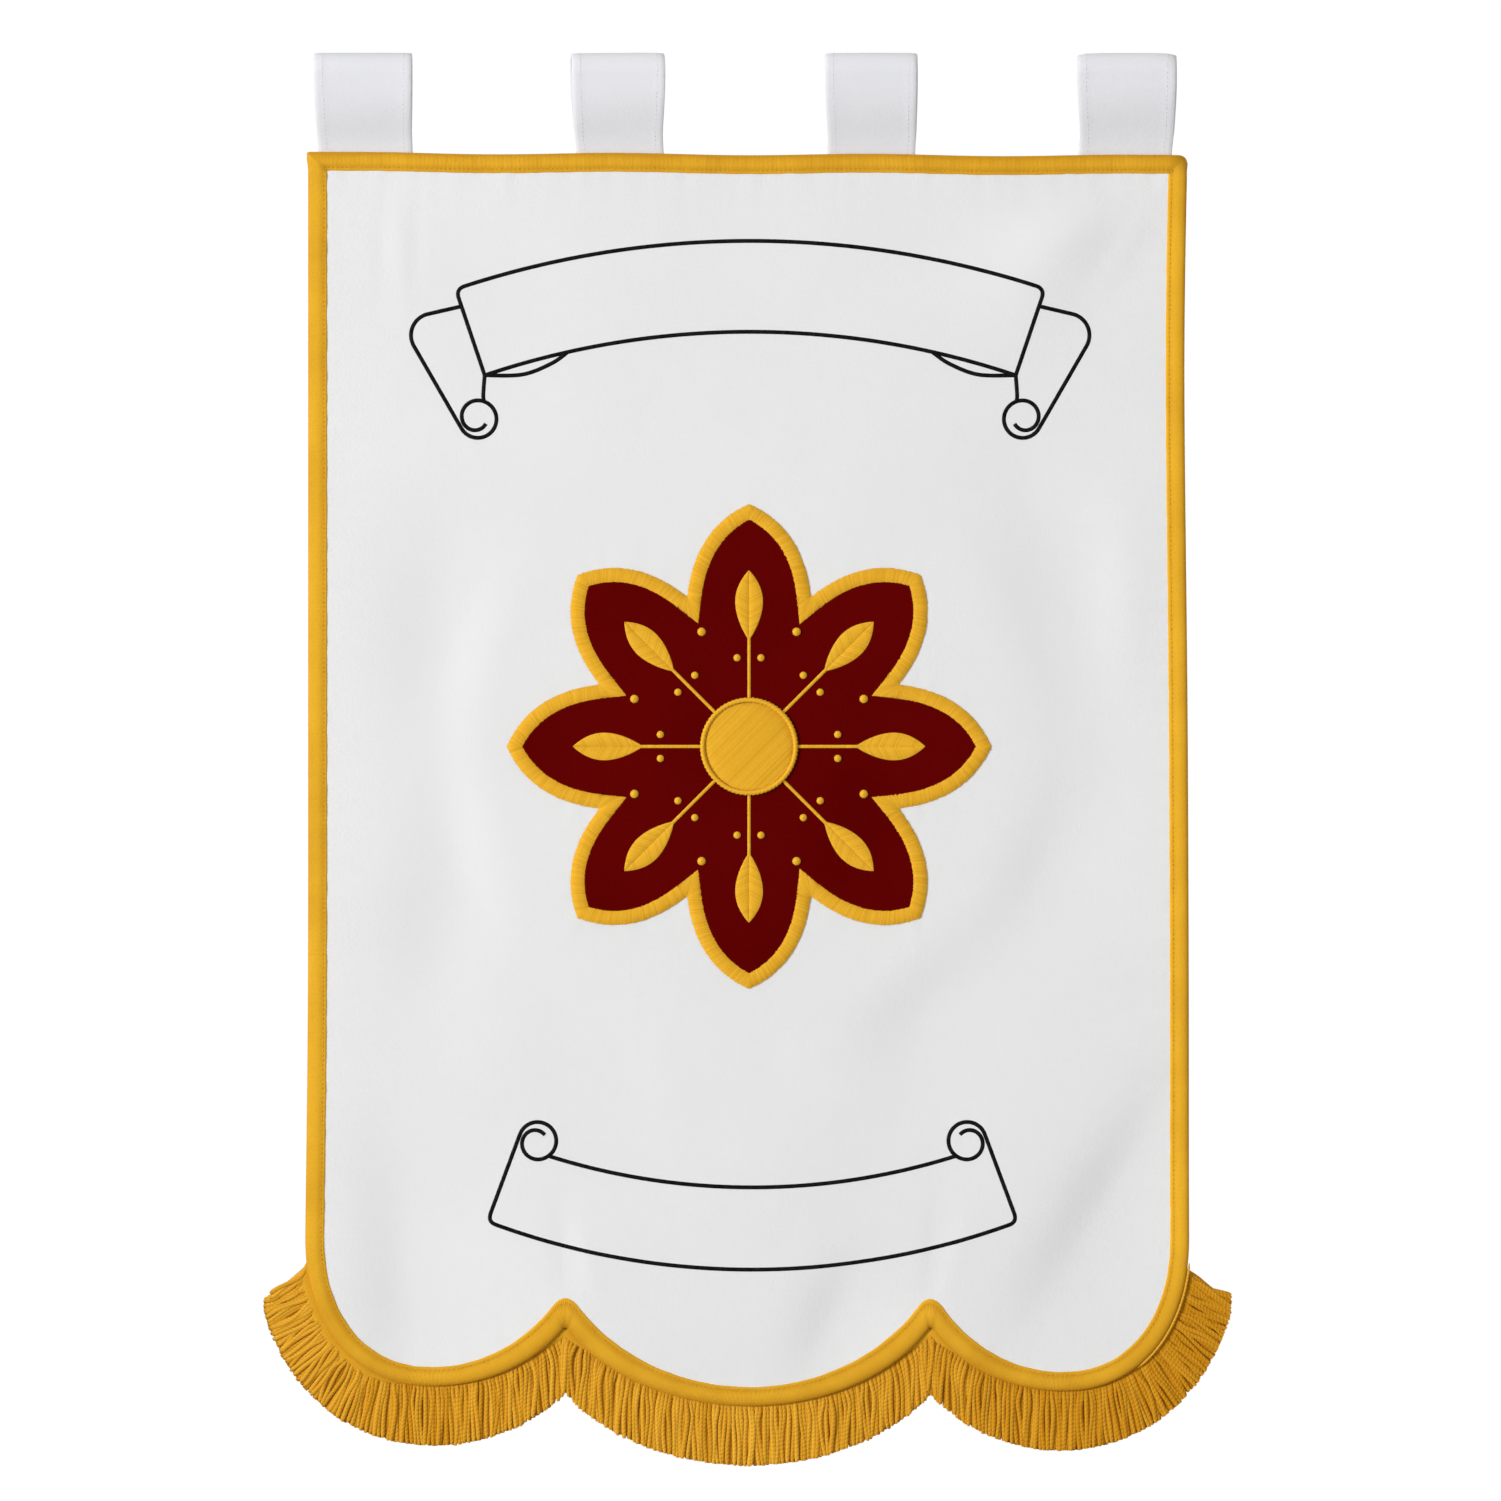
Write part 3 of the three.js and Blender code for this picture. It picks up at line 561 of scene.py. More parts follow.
PANEL_ROWS = 201
SIDE_SAMPLES = 400
TOP_SAMPLES = 240
OUTLINE_STEPS = 40
CHUNK = 4000
EDGE_PUCKER = {"depth": 0.32, "run": 13.0, "waves": (13.0, 17.0, 29.0), "seed": 3}
ROSETTE_PUCKER = {"depth": 0.26, "run": 12.0, "waves": (11.0, 19.0, 26.0), "seed": 4}


def ray(angle):
    """Unit way at an angle from straight up, clockwise in the front view."""
    return np.array([math.sin(angle), math.cos(angle)])


def rosette_line(steps):
    """Rosette outline, anticlockwise in the front view: pointed petals with curved sides."""
    t = np.linspace(0, 1, steps, endpoint=False)[:, None]
    bulge = HALF_PETAL * PETAL_BULGE_TURN
    parts = []
    for i in range(PETALS):
        middle = 2 * HALF_PETAL * i
        tip = PETAL_TIP * ray(middle)
        before, after = (PETAL_VALLEY * ray(middle + side * HALF_PETAL) for side in (-1, 1))
        parts.append(bezier(t, before, PETAL_BULGE * ray(middle - bulge), tip))
        parts.append(bezier(t, tip, PETAL_BULGE * ray(middle + bulge), after))
    return np.concatenate(parts)[::-1]


def inset_line(points, distance):
    """A closed outline moved in by a distance, mitred at its points."""
    before = left_of(unit(points - np.roll(points, 1, 0)))
    after = left_of(unit(np.roll(points, -1, 0) - points))
    inward = unit(before + after)
    return points + inward * (distance / np.sum(inward * before, 1, keepdims=True))


def nearest(points, line):
    """Distance from each point to a run of points, and the length along the run where it is."""
    lengths = path_length(line)
    distance = np.empty(len(points))
    along = np.empty(len(points))
    for start in range(0, len(points), CHUNK):
        part = slice(start, start + CHUNK)
        away = points[part, None] - line[None]
        gaps = np.hypot(away[..., 0], away[..., 1])
        best = np.argmin(gaps, 1)
        distance[part] = gaps[np.arange(len(gaps)), best]
        along[part] = lengths[best]
    return distance, along


def panel_side(run, way):
    """One side of the cloth, lying inside the binding."""
    points = smooth_run(run, SIDE_SAMPLES)
    z = np.linspace(run[0][1] - PANEL_UNDER_BINDING, run[-1][1], PANEL_ROWS)
    x = np.interp(-z, -points[:, 1], points[:, 0])
    return np.stack([x + way * PANEL_UNDER_BINDING, z], -1)


def panel_grid():
    """Points of the front view over the whole cloth, as rows from the top to the hem."""
    under = PANEL_UNDER_BINDING / BINDING_WIDTH
    bottom = hem_line(PANEL_DENSITY, FOLD_RAIL) * (1 - under) + hem_line(PANEL_DENSITY, LIP_RAIL) * under
    left, right = panel_side(LEFT_SIDE, 1), panel_side(RIGHT_SIDE, -1)
    top_x = np.linspace(left[0, 0], right[0, 0], len(bottom))
    top = np.stack([top_x, top_edge_z(top_x) - PANEL_UNDER_BINDING], -1)
    bottom[0], bottom[-1] = left[-1], right[-1]
    u = np.linspace(0, 1, len(bottom))[None, :, None]
    v = np.linspace(0, 1, PANEL_ROWS)[:, None, None]
    across = left[:, None] * (1 - u) + right[:, None] * u
    down = top[None] * (1 - v) + bottom[None] * v
    ends = (top[0] * (1 - u) + top[-1] * u) * (1 - v) + (bottom[0] * (1 - u) + bottom[-1] * u) * v
    return across + down - ends


def pucker(row, distance, along):
    """Ripples that sewing draws in the cloth, dying away from the seam."""
    return row["depth"] * np.exp(-distance / row["run"]) * waver(along, row["waves"], row["seed"])


def panel_depth(flat):
    """The cloth's folds, and the puckers along the binding and round the rosette."""
    centre = np.array([ROSETTE_X, ROSETTE_Z])
    distance, along = nearest(flat, np.concatenate([ROUND_EDGE, top_line(TOP_SAMPLES)]))
    y = cloth_y(flat) + pucker(EDGE_PUCKER, np.clip(distance - BINDING_WIDTH, 0, None), along)
    distance, along = nearest(flat, rosette_line(OUTLINE_STEPS) + centre)
    outside = np.linalg.norm(flat - centre, axis=1) > PETAL_VALLEY
    return y + pucker(ROSETTE_PUCKER, distance, along) * outside


def build_panel():
    grid = panel_grid()
    rows, columns = grid.shape[:2]
    flat = grid.reshape(-1, 2)
    y = panel_depth(flat)
    points = np.concatenate([at_depth(flat, y + side * PANEL_THICKNESS / 2) for side in (-1, 1)])
    face = ring_quads(rows, columns, wrap=False)
    count = rows * columns
    index = np.arange(count).reshape(rows, columns)
    rim = np.concatenate([index[:, 0], index[-1, 1:], index[-2::-1, -1], index[0, -2:0:-1]])
    after = np.roll(rim, -1)
    wall = np.stack([rim, rim + count, after + count, after], -1)
    faces = [face, face[:, ::-1] + count, wall]
    piece = make_piece("banner_panel", points, faces, WHITE_CLOTH)
    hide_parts("panel")
    return piece


# Binding: half a section from lip to fold, as inset from the fold and height over the cloth's middle

TAPE_SECTION = [
    (13.2, 0.55), (13.1, 0.95), (12.7, 1.25), (12.0, 1.45), (11.2, 1.5), (10.5, 1.55), (9.6, 1.8), (8.6, 2.0),
    (7.4, 2.2), (6.0, 2.3), (4.5, 2.3), (3.0, 2.2), (1.8, 1.95), (0.9, 1.5), (0.35, 0.95), (0.08, 0.4),
]
# Painted shade across the tape, as inset and tone: darker at the fold and in the stitched groove, lighter on
# the crown and at the lips
TAPE_PAINTED_SHADE = [
    (0.0, 1.0), (1.5, 0.7), (3.5, 0.35), (7.0, 0.1), (9.3, 0.35), (10.8, 0.6), (12.2, 0.2), (13.2, 0.0),
]
TAPE_GROOVE = 10.8
TAPE_GROOVE_HEIGHT = 1.52
BACK_SHARE = 0.85
TAPE_PADDED = 1.3
TAPE_LUMPS = [(0.07, (21.0, 34.0, 55.0)), (0.05, (6.5, 9.0))]
TAPE_LIP_WAVE = (0.012, (15.0, 24.0, 40.0))
TAPE_END = {"level": 14.0, "run": 20.0}
# Painted shade along the tape: the top and hem runs darker, the sides lighter, blending over a run where a
# side meets the hem
TOP_TAPE_PAINTED_SHADE = 0.3
HEM_TAPE_PAINTED_SHADE = 0.3
SIDE_TAPE_PAINTED_LIGHT = -0.12
HEM_SHADE_RUN = 60.0
TOP_STATIONS = 320
TOP_CORNER_RADIUS = {-1: 2.0, 1: 7.0}
CORNER_CUT = 1 - math.sqrt(0.5)
TURNED_CORNER = {"reach": 16.0, "level": 6.0, "fade": 10.0, "depth": 5.5}
HEM_SEED = 20
TOP_SEED = 40


def tape_rings(outer, inner, seed):
    """Sections of folded tape between its fold and its lips: padded, with a stitched groove."""
    front = np.array(TAPE_SECTION)
    section = np.concatenate([front * [1, -1], front[::-1] * [1, BACK_SHARE]])
    s = path_length((outer + inner) / 2)
    away = smoothstep((np.minimum(s, s[-1] - s) - TAPE_END["level"]) / TAPE_END["run"])
    lumps = sum(depth * waver(s, lengths, seed + n) for n, (depth, lengths) in enumerate(TAPE_LUMPS))
    full = 1 + lumps * away
    lip = TAPE_LIP_WAVE[0] * waver(s, TAPE_LIP_WAVE[1], seed + len(TAPE_LUMPS)) * away
    share = section[None, :, 0] / BINDING_WIDTH
    share = share + lip[:, None] * share**2
    height = section[None, :, 1]
    offset = height * np.where(np.abs(height) > TAPE_PADDED, full[:, None], 1.0)
    y = cloth_y(outer)[:, None] * (1 - share) + cloth_y(inner)[:, None] * share + offset
    flat = outer[:, None] * (1 - share)[..., None] + inner[:, None] * share[..., None]
    return at_depth(flat, y), s


def tape_piece(name, node, rings, s, painted_shade):
    """A length of tape from its sections, with its two ends closed, its tone painted shade."""
    count, around = rings.shape[:2]
    faces = ring_quads(count, around)[:, ::-1]
    uv = ring_uv(s * MM, around).reshape(-1, 4, 2)[:, ::-1].reshape(-1, 2)
    uv = np.concatenate([uv, np.zeros((2 * around, 2))])
    start = np.arange(around)[None, ::-1] + count * around
    end = start[:, ::-1] + around
    # The tone is painted shade: darker at the fold and groove across each section, plus the painted shade
    # given for this run of tape
    inset = np.array(TAPE_SECTION)[:, 0]
    tone = np.interp(np.concatenate([inset, inset[::-1]]), *np.array(TAPE_PAINTED_SHADE).T)
    painted_shade = np.broadcast_to(painted_shade, count)
    tone = np.concatenate([painted_shade, painted_shade[:1], painted_shade[-1:]])[:, None] + tone
    points = np.concatenate([rings, rings[:1], rings[-1:]])
    piece = make_piece(name, points, [faces, start, end], GOLD_TAPE, uv, tone.ravel())
    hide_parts(node)
    return piece


def corner_drop(away, radius):
    """How far a rounded corner falls back, at a distance from the corner along one edge."""
    reach = np.clip(radius - away, 0, radius)
    return radius - np.sqrt(radius**2 - reach**2)


def top_corner(side):
    """A top corner of the bound cloth, at the left (-1) or the right (1)."""
    x = (LEFT_SIDE if side < 0 else RIGHT_SIDE)[0][0]
    return np.array([x + side * TOP_OVERHANG, top_edge_z(x)])


def mitre_start(side):
    """Where the mitre of the two tapes begins, on the rounded corner."""
    return top_corner(side) - CORNER_CUT * TOP_CORNER_RADIUS[side] * np.array([side, 1])


def hem_rails():
    """Fold and lip of the tape down the left side, round the hem and up the right, mitred at the top."""
    outer, inner = edge_line(FOLD_RAIL), edge_line(LIP_RAIL)
    for side, radius in TOP_CORNER_RADIUS.items():
        corner_z = top_corner(side)[1]
        near = np.sign(outer[:, 0]) == side
        away = corner_z - outer[:, 1]
        lean = TOP_OVERHANG * (1 - smoothstep(away / BINDING_WIDTH))
        lean = lean - corner_drop(np.clip(away, 0, None), radius)
        outer[:, 0] += np.where(near, side * lean, 0)
        inner[:, 1] = np.where(near, np.minimum(inner[:, 1], corner_z - BINDING_WIDTH), inner[:, 1])
    limit = np.where(outer[:, 0] < 0, top_corner(-1)[1], top_corner(1)[1])
    keep = outer[:, 1] < limit - BINDING_WIDTH / 4
    outer, inner = outer[keep], inner[keep]
    outer = np.concatenate([mitre_start(-1)[None], outer, mitre_start(1)[None]])
    return outer, np.concatenate([inner[:1], inner, inner[-1:]])


def top_rails():
    """Fold and lip of the top tape, from right to left, mitred and rounded at its ends."""
    x = np.linspace(mitre_start(1)[0], mitre_start(-1)[0], TOP_STATIONS)
    drop = sum(corner_drop(side * (top_corner(side)[0] - x), TOP_CORNER_RADIUS[side]) for side in (1, -1))
    inner_x = np.clip(x, LEFT_SIDE[0][0] + BINDING_WIDTH, RIGHT_SIDE[0][0] - BINDING_WIDTH)
    outer = np.stack([x, top_edge_z(x) - drop], -1)
    return outer, np.stack([inner_x, top_edge_z(inner_x) - BINDING_WIDTH], -1)


def turned_corner(rings):
    """The tape at the right top corner, turned back over the cloth's edge."""
    turn, corner = TURNED_CORNER, top_corner(1)
    across = np.clip((rings[..., 0] - corner[0] + turn["reach"]) / turn["reach"], 0, 1)
    down = 1 - smoothstep((corner[1] - rings[..., 2] - turn["level"]) / turn["fade"])
    rings[..., 1] += turn["depth"] * across**2 * down
    return rings


def build_binding():
    rails = hem_rails()
    hem, hem_run = tape_rings(*rails, HEM_SEED)
    # Painted shade: the hem darker than the lighter sides, blending over a run below the sides' feet
    low = smoothstep((LEFT_SIDE[-1][1] - rails[0][:, 1]) / HEM_SHADE_RUN)
    hem_painted_shade = SIDE_TAPE_PAINTED_LIGHT + (HEM_TAPE_PAINTED_SHADE - SIDE_TAPE_PAINTED_LIGHT) * low
    top, top_run = tape_rings(*top_rails(), TOP_SEED)
    return [
        tape_piece("binding_hem_tape", "binding_hem", turned_corner(hem), hem_run, hem_painted_shade),
        tape_piece("binding_top_tape", "binding_top", turned_corner(top), top_run, TOP_TAPE_PAINTED_SHADE),
    ]


# Stitches: sections of one stitch, as place along it, swell and lift

STITCH_SECTIONS = [
    (-0.5, 0.25, -0.5), (-0.3, 0.85, 0.1), (0.0, 1.0, 0.35), (0.3, 0.85, 0.1), (0.5, 0.25, -0.5),
]
STITCH_SIDES = 5
TAPE_STITCH_PITCH = 3.2
TAPE_STITCH = {"length": 2.4, "width": 0.6, "height": 0.5}


def stitch_run(centres, ways, ups, length, width, height):
    """Short raised stitches: each a tapered bead lying along its way, standing up on its surface."""
    place, swell, lift = np.array(STITCH_SECTIONS).T
    turn = turns(STITCH_SIDES)
    aside = np.outer(swell, np.cos(turn)) * width / 2
    above = np.outer(swell, np.sin(turn)) * height / 2 + lift[:, None] * height
    rings = (
        ways[:, None, None] * (place * length)[None, :, None, None]
        + np.cross(ways, ups)[:, None, None] * aside[None, :, :, None]
        + ups[:, None, None] * above[None, :, :, None]
    )
    points = centres[:, None, None] + rings
    count, each = len(centres), len(place) * STITCH_SIDES
    faces = repeat_faces(ring_quads(len(place), STITCH_SIDES), count, each)
    return points.reshape(-1, 3), faces, thread_tones(count, each)


def tape_stitches(outer, inner, side):
    """Stitches in the groove of the tape, on its front (-1) or back (1)."""
    share = TAPE_GROOVE / BINDING_WIDTH
    line = outer * (1 - share) + inner * share
    height = TAPE_GROOVE_HEIGHT * (1 if side < 0 else BACK_SHARE)
    run = at_depth(line, cloth_y(line) + side * height)
    centres = resample(run, int(path_length(run)[-1] / TAPE_STITCH_PITCH))
    ups = np.tile([0.0, side, 0.0], (len(centres), 1))
    return stitch_run(centres, ways_along(centres), ups, **TAPE_STITCH)


def build_tape_stitches():
    parts = [tape_stitches(*rails, side) for rails in (hem_rails(), top_rails()) for side in (-1, 1)]
    return sewn_piece("binding_stitches", parts, TAPE_THREAD)


# Fringe: strands of twisted yarn, hung in layers from a heading sewn behind the binding

FRINGE_START_Z = -819.0
FRINGE_END_Z = -823.0
STRAND_LENGTH = 41.5
STRAND_ROOT = 4.0
STRAND_DROOP = 0.16
STRAND_BEND_GAIN = 1.1
STRAND_FIRST = 2.0
STRAND_FLATNESS = 0.55
STRAND_RINGS = 18
STRAND_SIDES = 8
STRAND_TIP = 0.6
STRAND_SEED = 51
# Deeper layers have a darker tone: painted shade behind the front strands
STRAND_LAYERS = table(
    "name pitch first radius depth tone wander place_seed",
    ("fringe_front", 2.7, 0.0, 1.6, 1.9, 0.35, 1.0, 0),
    ("fringe_middle", 2.7, 1.3, 1.7, 3.0, 0.45, 0.6, 13),
    ("fringe_back", 2.6, 0.4, 1.8, 4.3, 0.5, 0.1, 4),
)

# How unlike each other the strands are
PITCH_REACH = 0.7
PITCH_SPREAD = 0.22
LENGTH_SPREAD = 0.3
DEPTH_SPREAD = 0.2
DEPTH_WAVE = 0.3
DEPTH_SEED = 9
RADIUS_SPREAD = (0.88, 1.12)
TONE_SPREAD = 0.1
TONE_WAVE = (0.24, (5.2, 8.3, 13.0))
SIDE_WAVES = [(9.0, 0.75), (14.0, -0.6), (22.0, 0.5), (35.0, -0.35)]
SIDE_WAVE = 0.62
OWN_WAVE = 0.35
WANDER_RUN = 14.0

# Strands at the lower corners, at the fringe's ends (bends in degrees) and where they leave the binding
CORNER_TURN = 1.1
CORNER_SHORT = 4.5
CORNER_WANDER = 0.8
# Painted shade: strands at the right corner darker, away from the key light
RIGHT_CORNER_PAINTED_SHADE = 0.52
LEFT_END_SHORT = 4.0
LEFT_END_RUN = 9.0
END_RUN = 13.0
END_BENDS = {"at": (43.0, 18.0), "rest": (-40.0, -6.0)}
FLARE_SHARE = 0.75
FLARE_RUN = 7.0
ROOT_GROWTH = {"share": 0.2, "run": 6.0}
DROP_START = -1.0
DROP_RUN = 6.0

# Heading of the fringe, and the cord beside the binding at the right corner
HEADING_DEPTH = 3.2
HEADING_INSIDE = 9.0
HEADING_HIDDEN = 0.5
HEADING_SHOWN = 6.0
HEADING_HALF = 0.9
HEADING_SIDES = 12
HEADING_SQUARE = 0.5
HEADING_TONE = 0.7
HEADING_BEND_GAIN = 1.6
HEADING_START_RUN = 12.0
HEADING_FORWARD = {"corner": 1.3, "corner_gain": 1.5, "notch": 1.5}
NOTCH_RUN = 13.0
CORD = {"start": 50.0, "radius": 0.95, "run": 10.0, "blunt": 4.0, "inset": -0.9, "forward": 0.2, "tone": 0.05}
CORD_SIDES = 8


def fringe_line():
    """The edge that carries fringe, and the way into the cloth along it."""
    line = hem_line(FRINGE_DENSITY, FOLD_RAIL)
    keep = line[:, 1] < np.where(line[:, 0] < 0, FRINGE_START_Z, FRINGE_END_Z)
    return line[keep], inward_of(line)[keep]


def outside_corner(x):
    return (x < SCALLOPS[0]["x"]) | (x > SCALLOPS[2]["x"])


def hang_way(line, inward):
    """The way a strand hangs: straight down, but outwards round the lower corners."""
    bend = 1 + (STRAND_DROOP - 1) * smoothstep(np.abs(inward[:, 0]) * STRAND_BEND_GAIN)
    droop = np.where(outside_corner(line[:, 0]), bend, 1.0)[:, None]
    return unit(-inward * (1 - droop) + np.array([0.0, -1.0]) * droop)


def strand_places(layer):
    """Roots one pitch apart, with the angles of the way out and of the hang, from straight down."""
    line, inward = fringe_line()
    way = hang_way(line, inward)
    square = np.zeros(len(line) - 1)
    for reach in (0.0, PITCH_REACH * STRAND_LENGTH):
        step = np.diff(line + way * reach, axis=0)
        square = np.maximum(square, step[:, 1] * way[:-1, 0] - step[:, 0] * way[:-1, 1])
    run = np.concatenate([[0], np.cumsum(square)])
    at = np.arange(STRAND_FIRST + layer["first"], run[-1] - STRAND_FIRST, layer["pitch"])
    local = np.random.default_rng(layer["place_seed"])
    at = at + local.uniform(-PITCH_SPREAD, PITCH_SPREAD, len(at)) * layer["pitch"]
    into = at_lengths(at, run, inward)
    hang = np.interp(at, run, np.arctan2(way[:, 0], -way[:, 1]))
    return {
        "root": at_lengths(at, run, line),
        "into": into,
        "out": np.arctan2(-into[:, 0], into[:, 1]),
        "hang": hang,
        "corner": smoothstep(np.abs(hang) / CORNER_TURN),
        "at": at,
        "rest": run[-1] - at,
    }


def strand_angles(places, travel, t):
    """Each strand leaves the binding squarely, turns to its hang, and is bent down near the fringe's ends."""
    middle = ~outside_corner(places["root"][:, 0])
    flare = np.where(middle, places["out"] - places["hang"], 0) * FLARE_SHARE
    angle = places["hang"][:, None] + flare[:, None] * np.exp(-np.clip(travel, 0, None) / FLARE_RUN)
    for end, bends in END_BENDS.items():
        begin, finish = np.radians(bends)
        angle = angle + np.exp(-places[end] / END_RUN)[:, None] * (begin + (finish - begin) * t)
    return angle


def strand_wave(at, t, seed):
    """Sideways wander shared by neighbouring strands, so that they bunch and part."""
    local = np.random.default_rng(seed)
    total = np.zeros((len(at), len(t)))
    for length, twists in SIDE_WAVES:
        phase = local.uniform(0, 2 * math.pi)
        total += np.sin(2 * math.pi * (at[:, None] / length + twists * t) + phase)
    return SIDE_WAVE * total + local.normal(0, OWN_WAVE, (len(at), 1)) * np.sin(math.pi * t)


def strand_travel(places, t, local):
    """Length down each strand, from its root behind the binding to its cut end."""
    length = STRAND_LENGTH - CORNER_SHORT * places["corner"]
    length = length - LEFT_END_SHORT * np.exp(-places["at"] / LEFT_END_RUN)
    length = length + local.normal(0, LENGTH_SPREAD, len(length))
    return -STRAND_ROOT + t * (length + STRAND_ROOT)[:, None]


def summed(steps):
    return np.concatenate([np.zeros((len(steps), 1)), np.cumsum(steps, 1)], 1)


def strand_lines(layer, places, travel, angle, t, seed):
    """The strands' middle lines in the front view."""
    step = np.diff(travel, axis=1)
    middle = (angle[:, 1:] + angle[:, :-1]) / 2
    start = places["root"] + places["into"] * STRAND_ROOT
    x = start[:, :1] + summed(np.sin(middle) * step)
    z = start[:, 1:] - summed(np.cos(middle) * step)
    loose = (1 + CORNER_WANDER * places["corner"])[:, None]
    wander = layer["wander"] * loose * smoothstep(travel / WANDER_RUN)
    wave = wander * strand_wave(places["at"], t, seed)
    return x + wave * np.cos(angle), z + wave * np.sin(angle)


def strand_depths(layer, places, travel, t, local, seed):
    """Depth along each strand, from the heading out to its layer."""
    deep = layer["depth"] + local.normal(0, DEPTH_SPREAD, (len(travel), 1))
    deep = deep + DEPTH_WAVE * strand_wave(places["at"], t, seed + DEPTH_SEED)
    drop = smoothstep((travel - DROP_START) / DROP_RUN)
    return cloth_y(places["root"])[:, None] + HEADING_DEPTH + (deep - HEADING_DEPTH) * drop


def strand_radii(layer, travel, t, local):
    growth = ROOT_GROWTH["share"]
    grown = 1 - growth + growth * smoothstep(travel / ROOT_GROWTH["run"])
    own = layer["radius"] * local.uniform(*RADIUS_SPREAD, (len(travel), 1))
    return own * grown * np.where(t == 1.0, STRAND_TIP, 1.0)


def strand_tones(layer, places, local, seed):
    """A tone for each strand: its layer's, which is painted shade darker for deeper layers; painted shade for
    its part of the hem and the right corner; and its own.
    """
    x, corner = places["root"][:, 0], places["corner"]
    painted_shade = np.interp(x, [s["x"] for s in SCALLOPS], [s["dye"] for s in SCALLOPS])
    painted_shade = painted_shade * (1 - corner) + np.where(x > 0, RIGHT_CORNER_PAINTED_SHADE, 0.0) * corner
    tone = layer["tone"] + painted_shade + TONE_WAVE[0] * waver(places["at"], TONE_WAVE[1], seed)
    return np.clip(tone + local.normal(0, TONE_SPREAD, len(x)), 0, 1)


def strand_layer(layer, seed):
    """One layer of twisted strands, cut to nearly one length."""
    local = np.random.default_rng(seed)
    places = strand_places(layer)
    count, each = len(places["at"]), STRAND_RINGS * STRAND_SIDES
    t = np.linspace(0, 1, STRAND_RINGS)
    travel = strand_travel(places, t, local)
    angle = strand_angles(places, travel, t)
    x, z = strand_lines(layer, places, travel, angle, t, seed)
    y = strand_depths(layer, places, travel, t, local, seed)
    radius = strand_radii(layer, travel, t, local)[..., None]
    turn = math.pi / 2 + turns(STRAND_SIDES)
    wide = radius * np.cos(turn)
    points = np.stack([
        x[..., None] + np.cos(angle)[..., None] * wide,
        y[..., None] + STRAND_FLATNESS * radius * np.sin(turn),
        z[..., None] + np.sin(angle)[..., None] * wide,
    ], -1)
    faces = repeat_faces(ring_quads(STRAND_RINGS, STRAND_SIDES), count, each)
    tips = np.arange(STRAND_SIDES)[None] + ((np.arange(count) + 1) * each - STRAND_SIDES)[:, None]
    uv = np.tile(ring_uv(t * STRAND_LENGTH * MM, STRAND_SIDES), (count, 1))
    uv = np.concatenate([uv, np.zeros((count * STRAND_SIDES, 2))])
    tone = np.repeat(strand_tones(layer, places, local, seed), each)
    return make_piece(layer["name"], points, [faces, tips], GOLD_YARN, uv, tone)


def edge_tube(name, line, inward, inset, y, material, tone):
    """A tube along the fringe's edge, from each section's insets and depths."""
    flat = line[:, None] + inward[:, None] * inset[..., None]
    count, around = inset.shape
    uv = ring_uv(path_length(line) * MM, around)
    tones = np.full(count * around, tone)
    faces = [ring_quads(count, around)]
    return make_piece(name, at_depth(flat, y), faces, material, uv, tones)


def squared(value):
    """A cosine or sine pressed outwards, so that a round section becomes a flat one."""
    return np.sign(value) * np.abs(value) ** HEADING_SQUARE


def build_heading():
    """Woven heading of the fringe; its edge shows round the left corner and at the notches."""
    line, inward = fringe_line()
    s = path_length(line)
    bend = smoothstep(np.abs(inward[:, 0]) * HEADING_BEND_GAIN) * smoothstep(s / HEADING_START_RUN)
    corner = np.where(line[:, 0] < SCALLOPS[0]["x"], bend, 0.0)
    notches = sum(np.exp(-(((line[:, 0] - notch["x"]) / NOTCH_RUN) ** 2)) for notch in NOTCHES)
    shown = HEADING_SHOWN * (corner + notches) - HEADING_HIDDEN
    middle, half = (HEADING_INSIDE - shown) / 2, (HEADING_INSIDE + shown) / 2
    turn = turns(HEADING_SIDES)
    inset = middle[:, None] + half[:, None] * squared(np.cos(turn))
    ahead = HEADING_FORWARD
    forward = ahead["corner"] * smoothstep(ahead["corner_gain"] * corner) + ahead["notch"] * notches
    y = (cloth_y(line) + HEADING_DEPTH - forward)[:, None] + HEADING_HALF * squared(np.sin(turn))
    return edge_tube("fringe_heading", line, inward, inset, y, GOLD_TAPE, HEADING_TONE)


def build_corner_cord():
    """Thin bright cord beside the binding round the right corner."""
    line, inward = fringe_line()
    keep = line[:, 0] > SCALLOPS[2]["x"] + CORD["start"]
    line, inward = line[keep], inward[keep]
    s = path_length(line)
    taper = smoothstep(np.minimum(s, s[-1] - s + CORD["blunt"]) / CORD["run"])
    radius = (CORD["radius"] * taper)[:, None]
    turn = turns(CORD_SIDES)
    inset = CORD["inset"] + radius * np.cos(turn)
    y = (cloth_y(line) - CORD["forward"])[:, None] + radius * np.sin(turn)
    return edge_tube("fringe_corner_cord", line, inward, inset, y, GOLD_YARN, CORD["tone"])


def build_fringe():
    pieces = [strand_layer(layer, STRAND_SEED + number) for number, layer in enumerate(STRAND_LAYERS)]
    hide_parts("fringe")
    return pieces + [build_heading(), build_corner_cord()]


# Tabs: their turned hems, dents and stitching

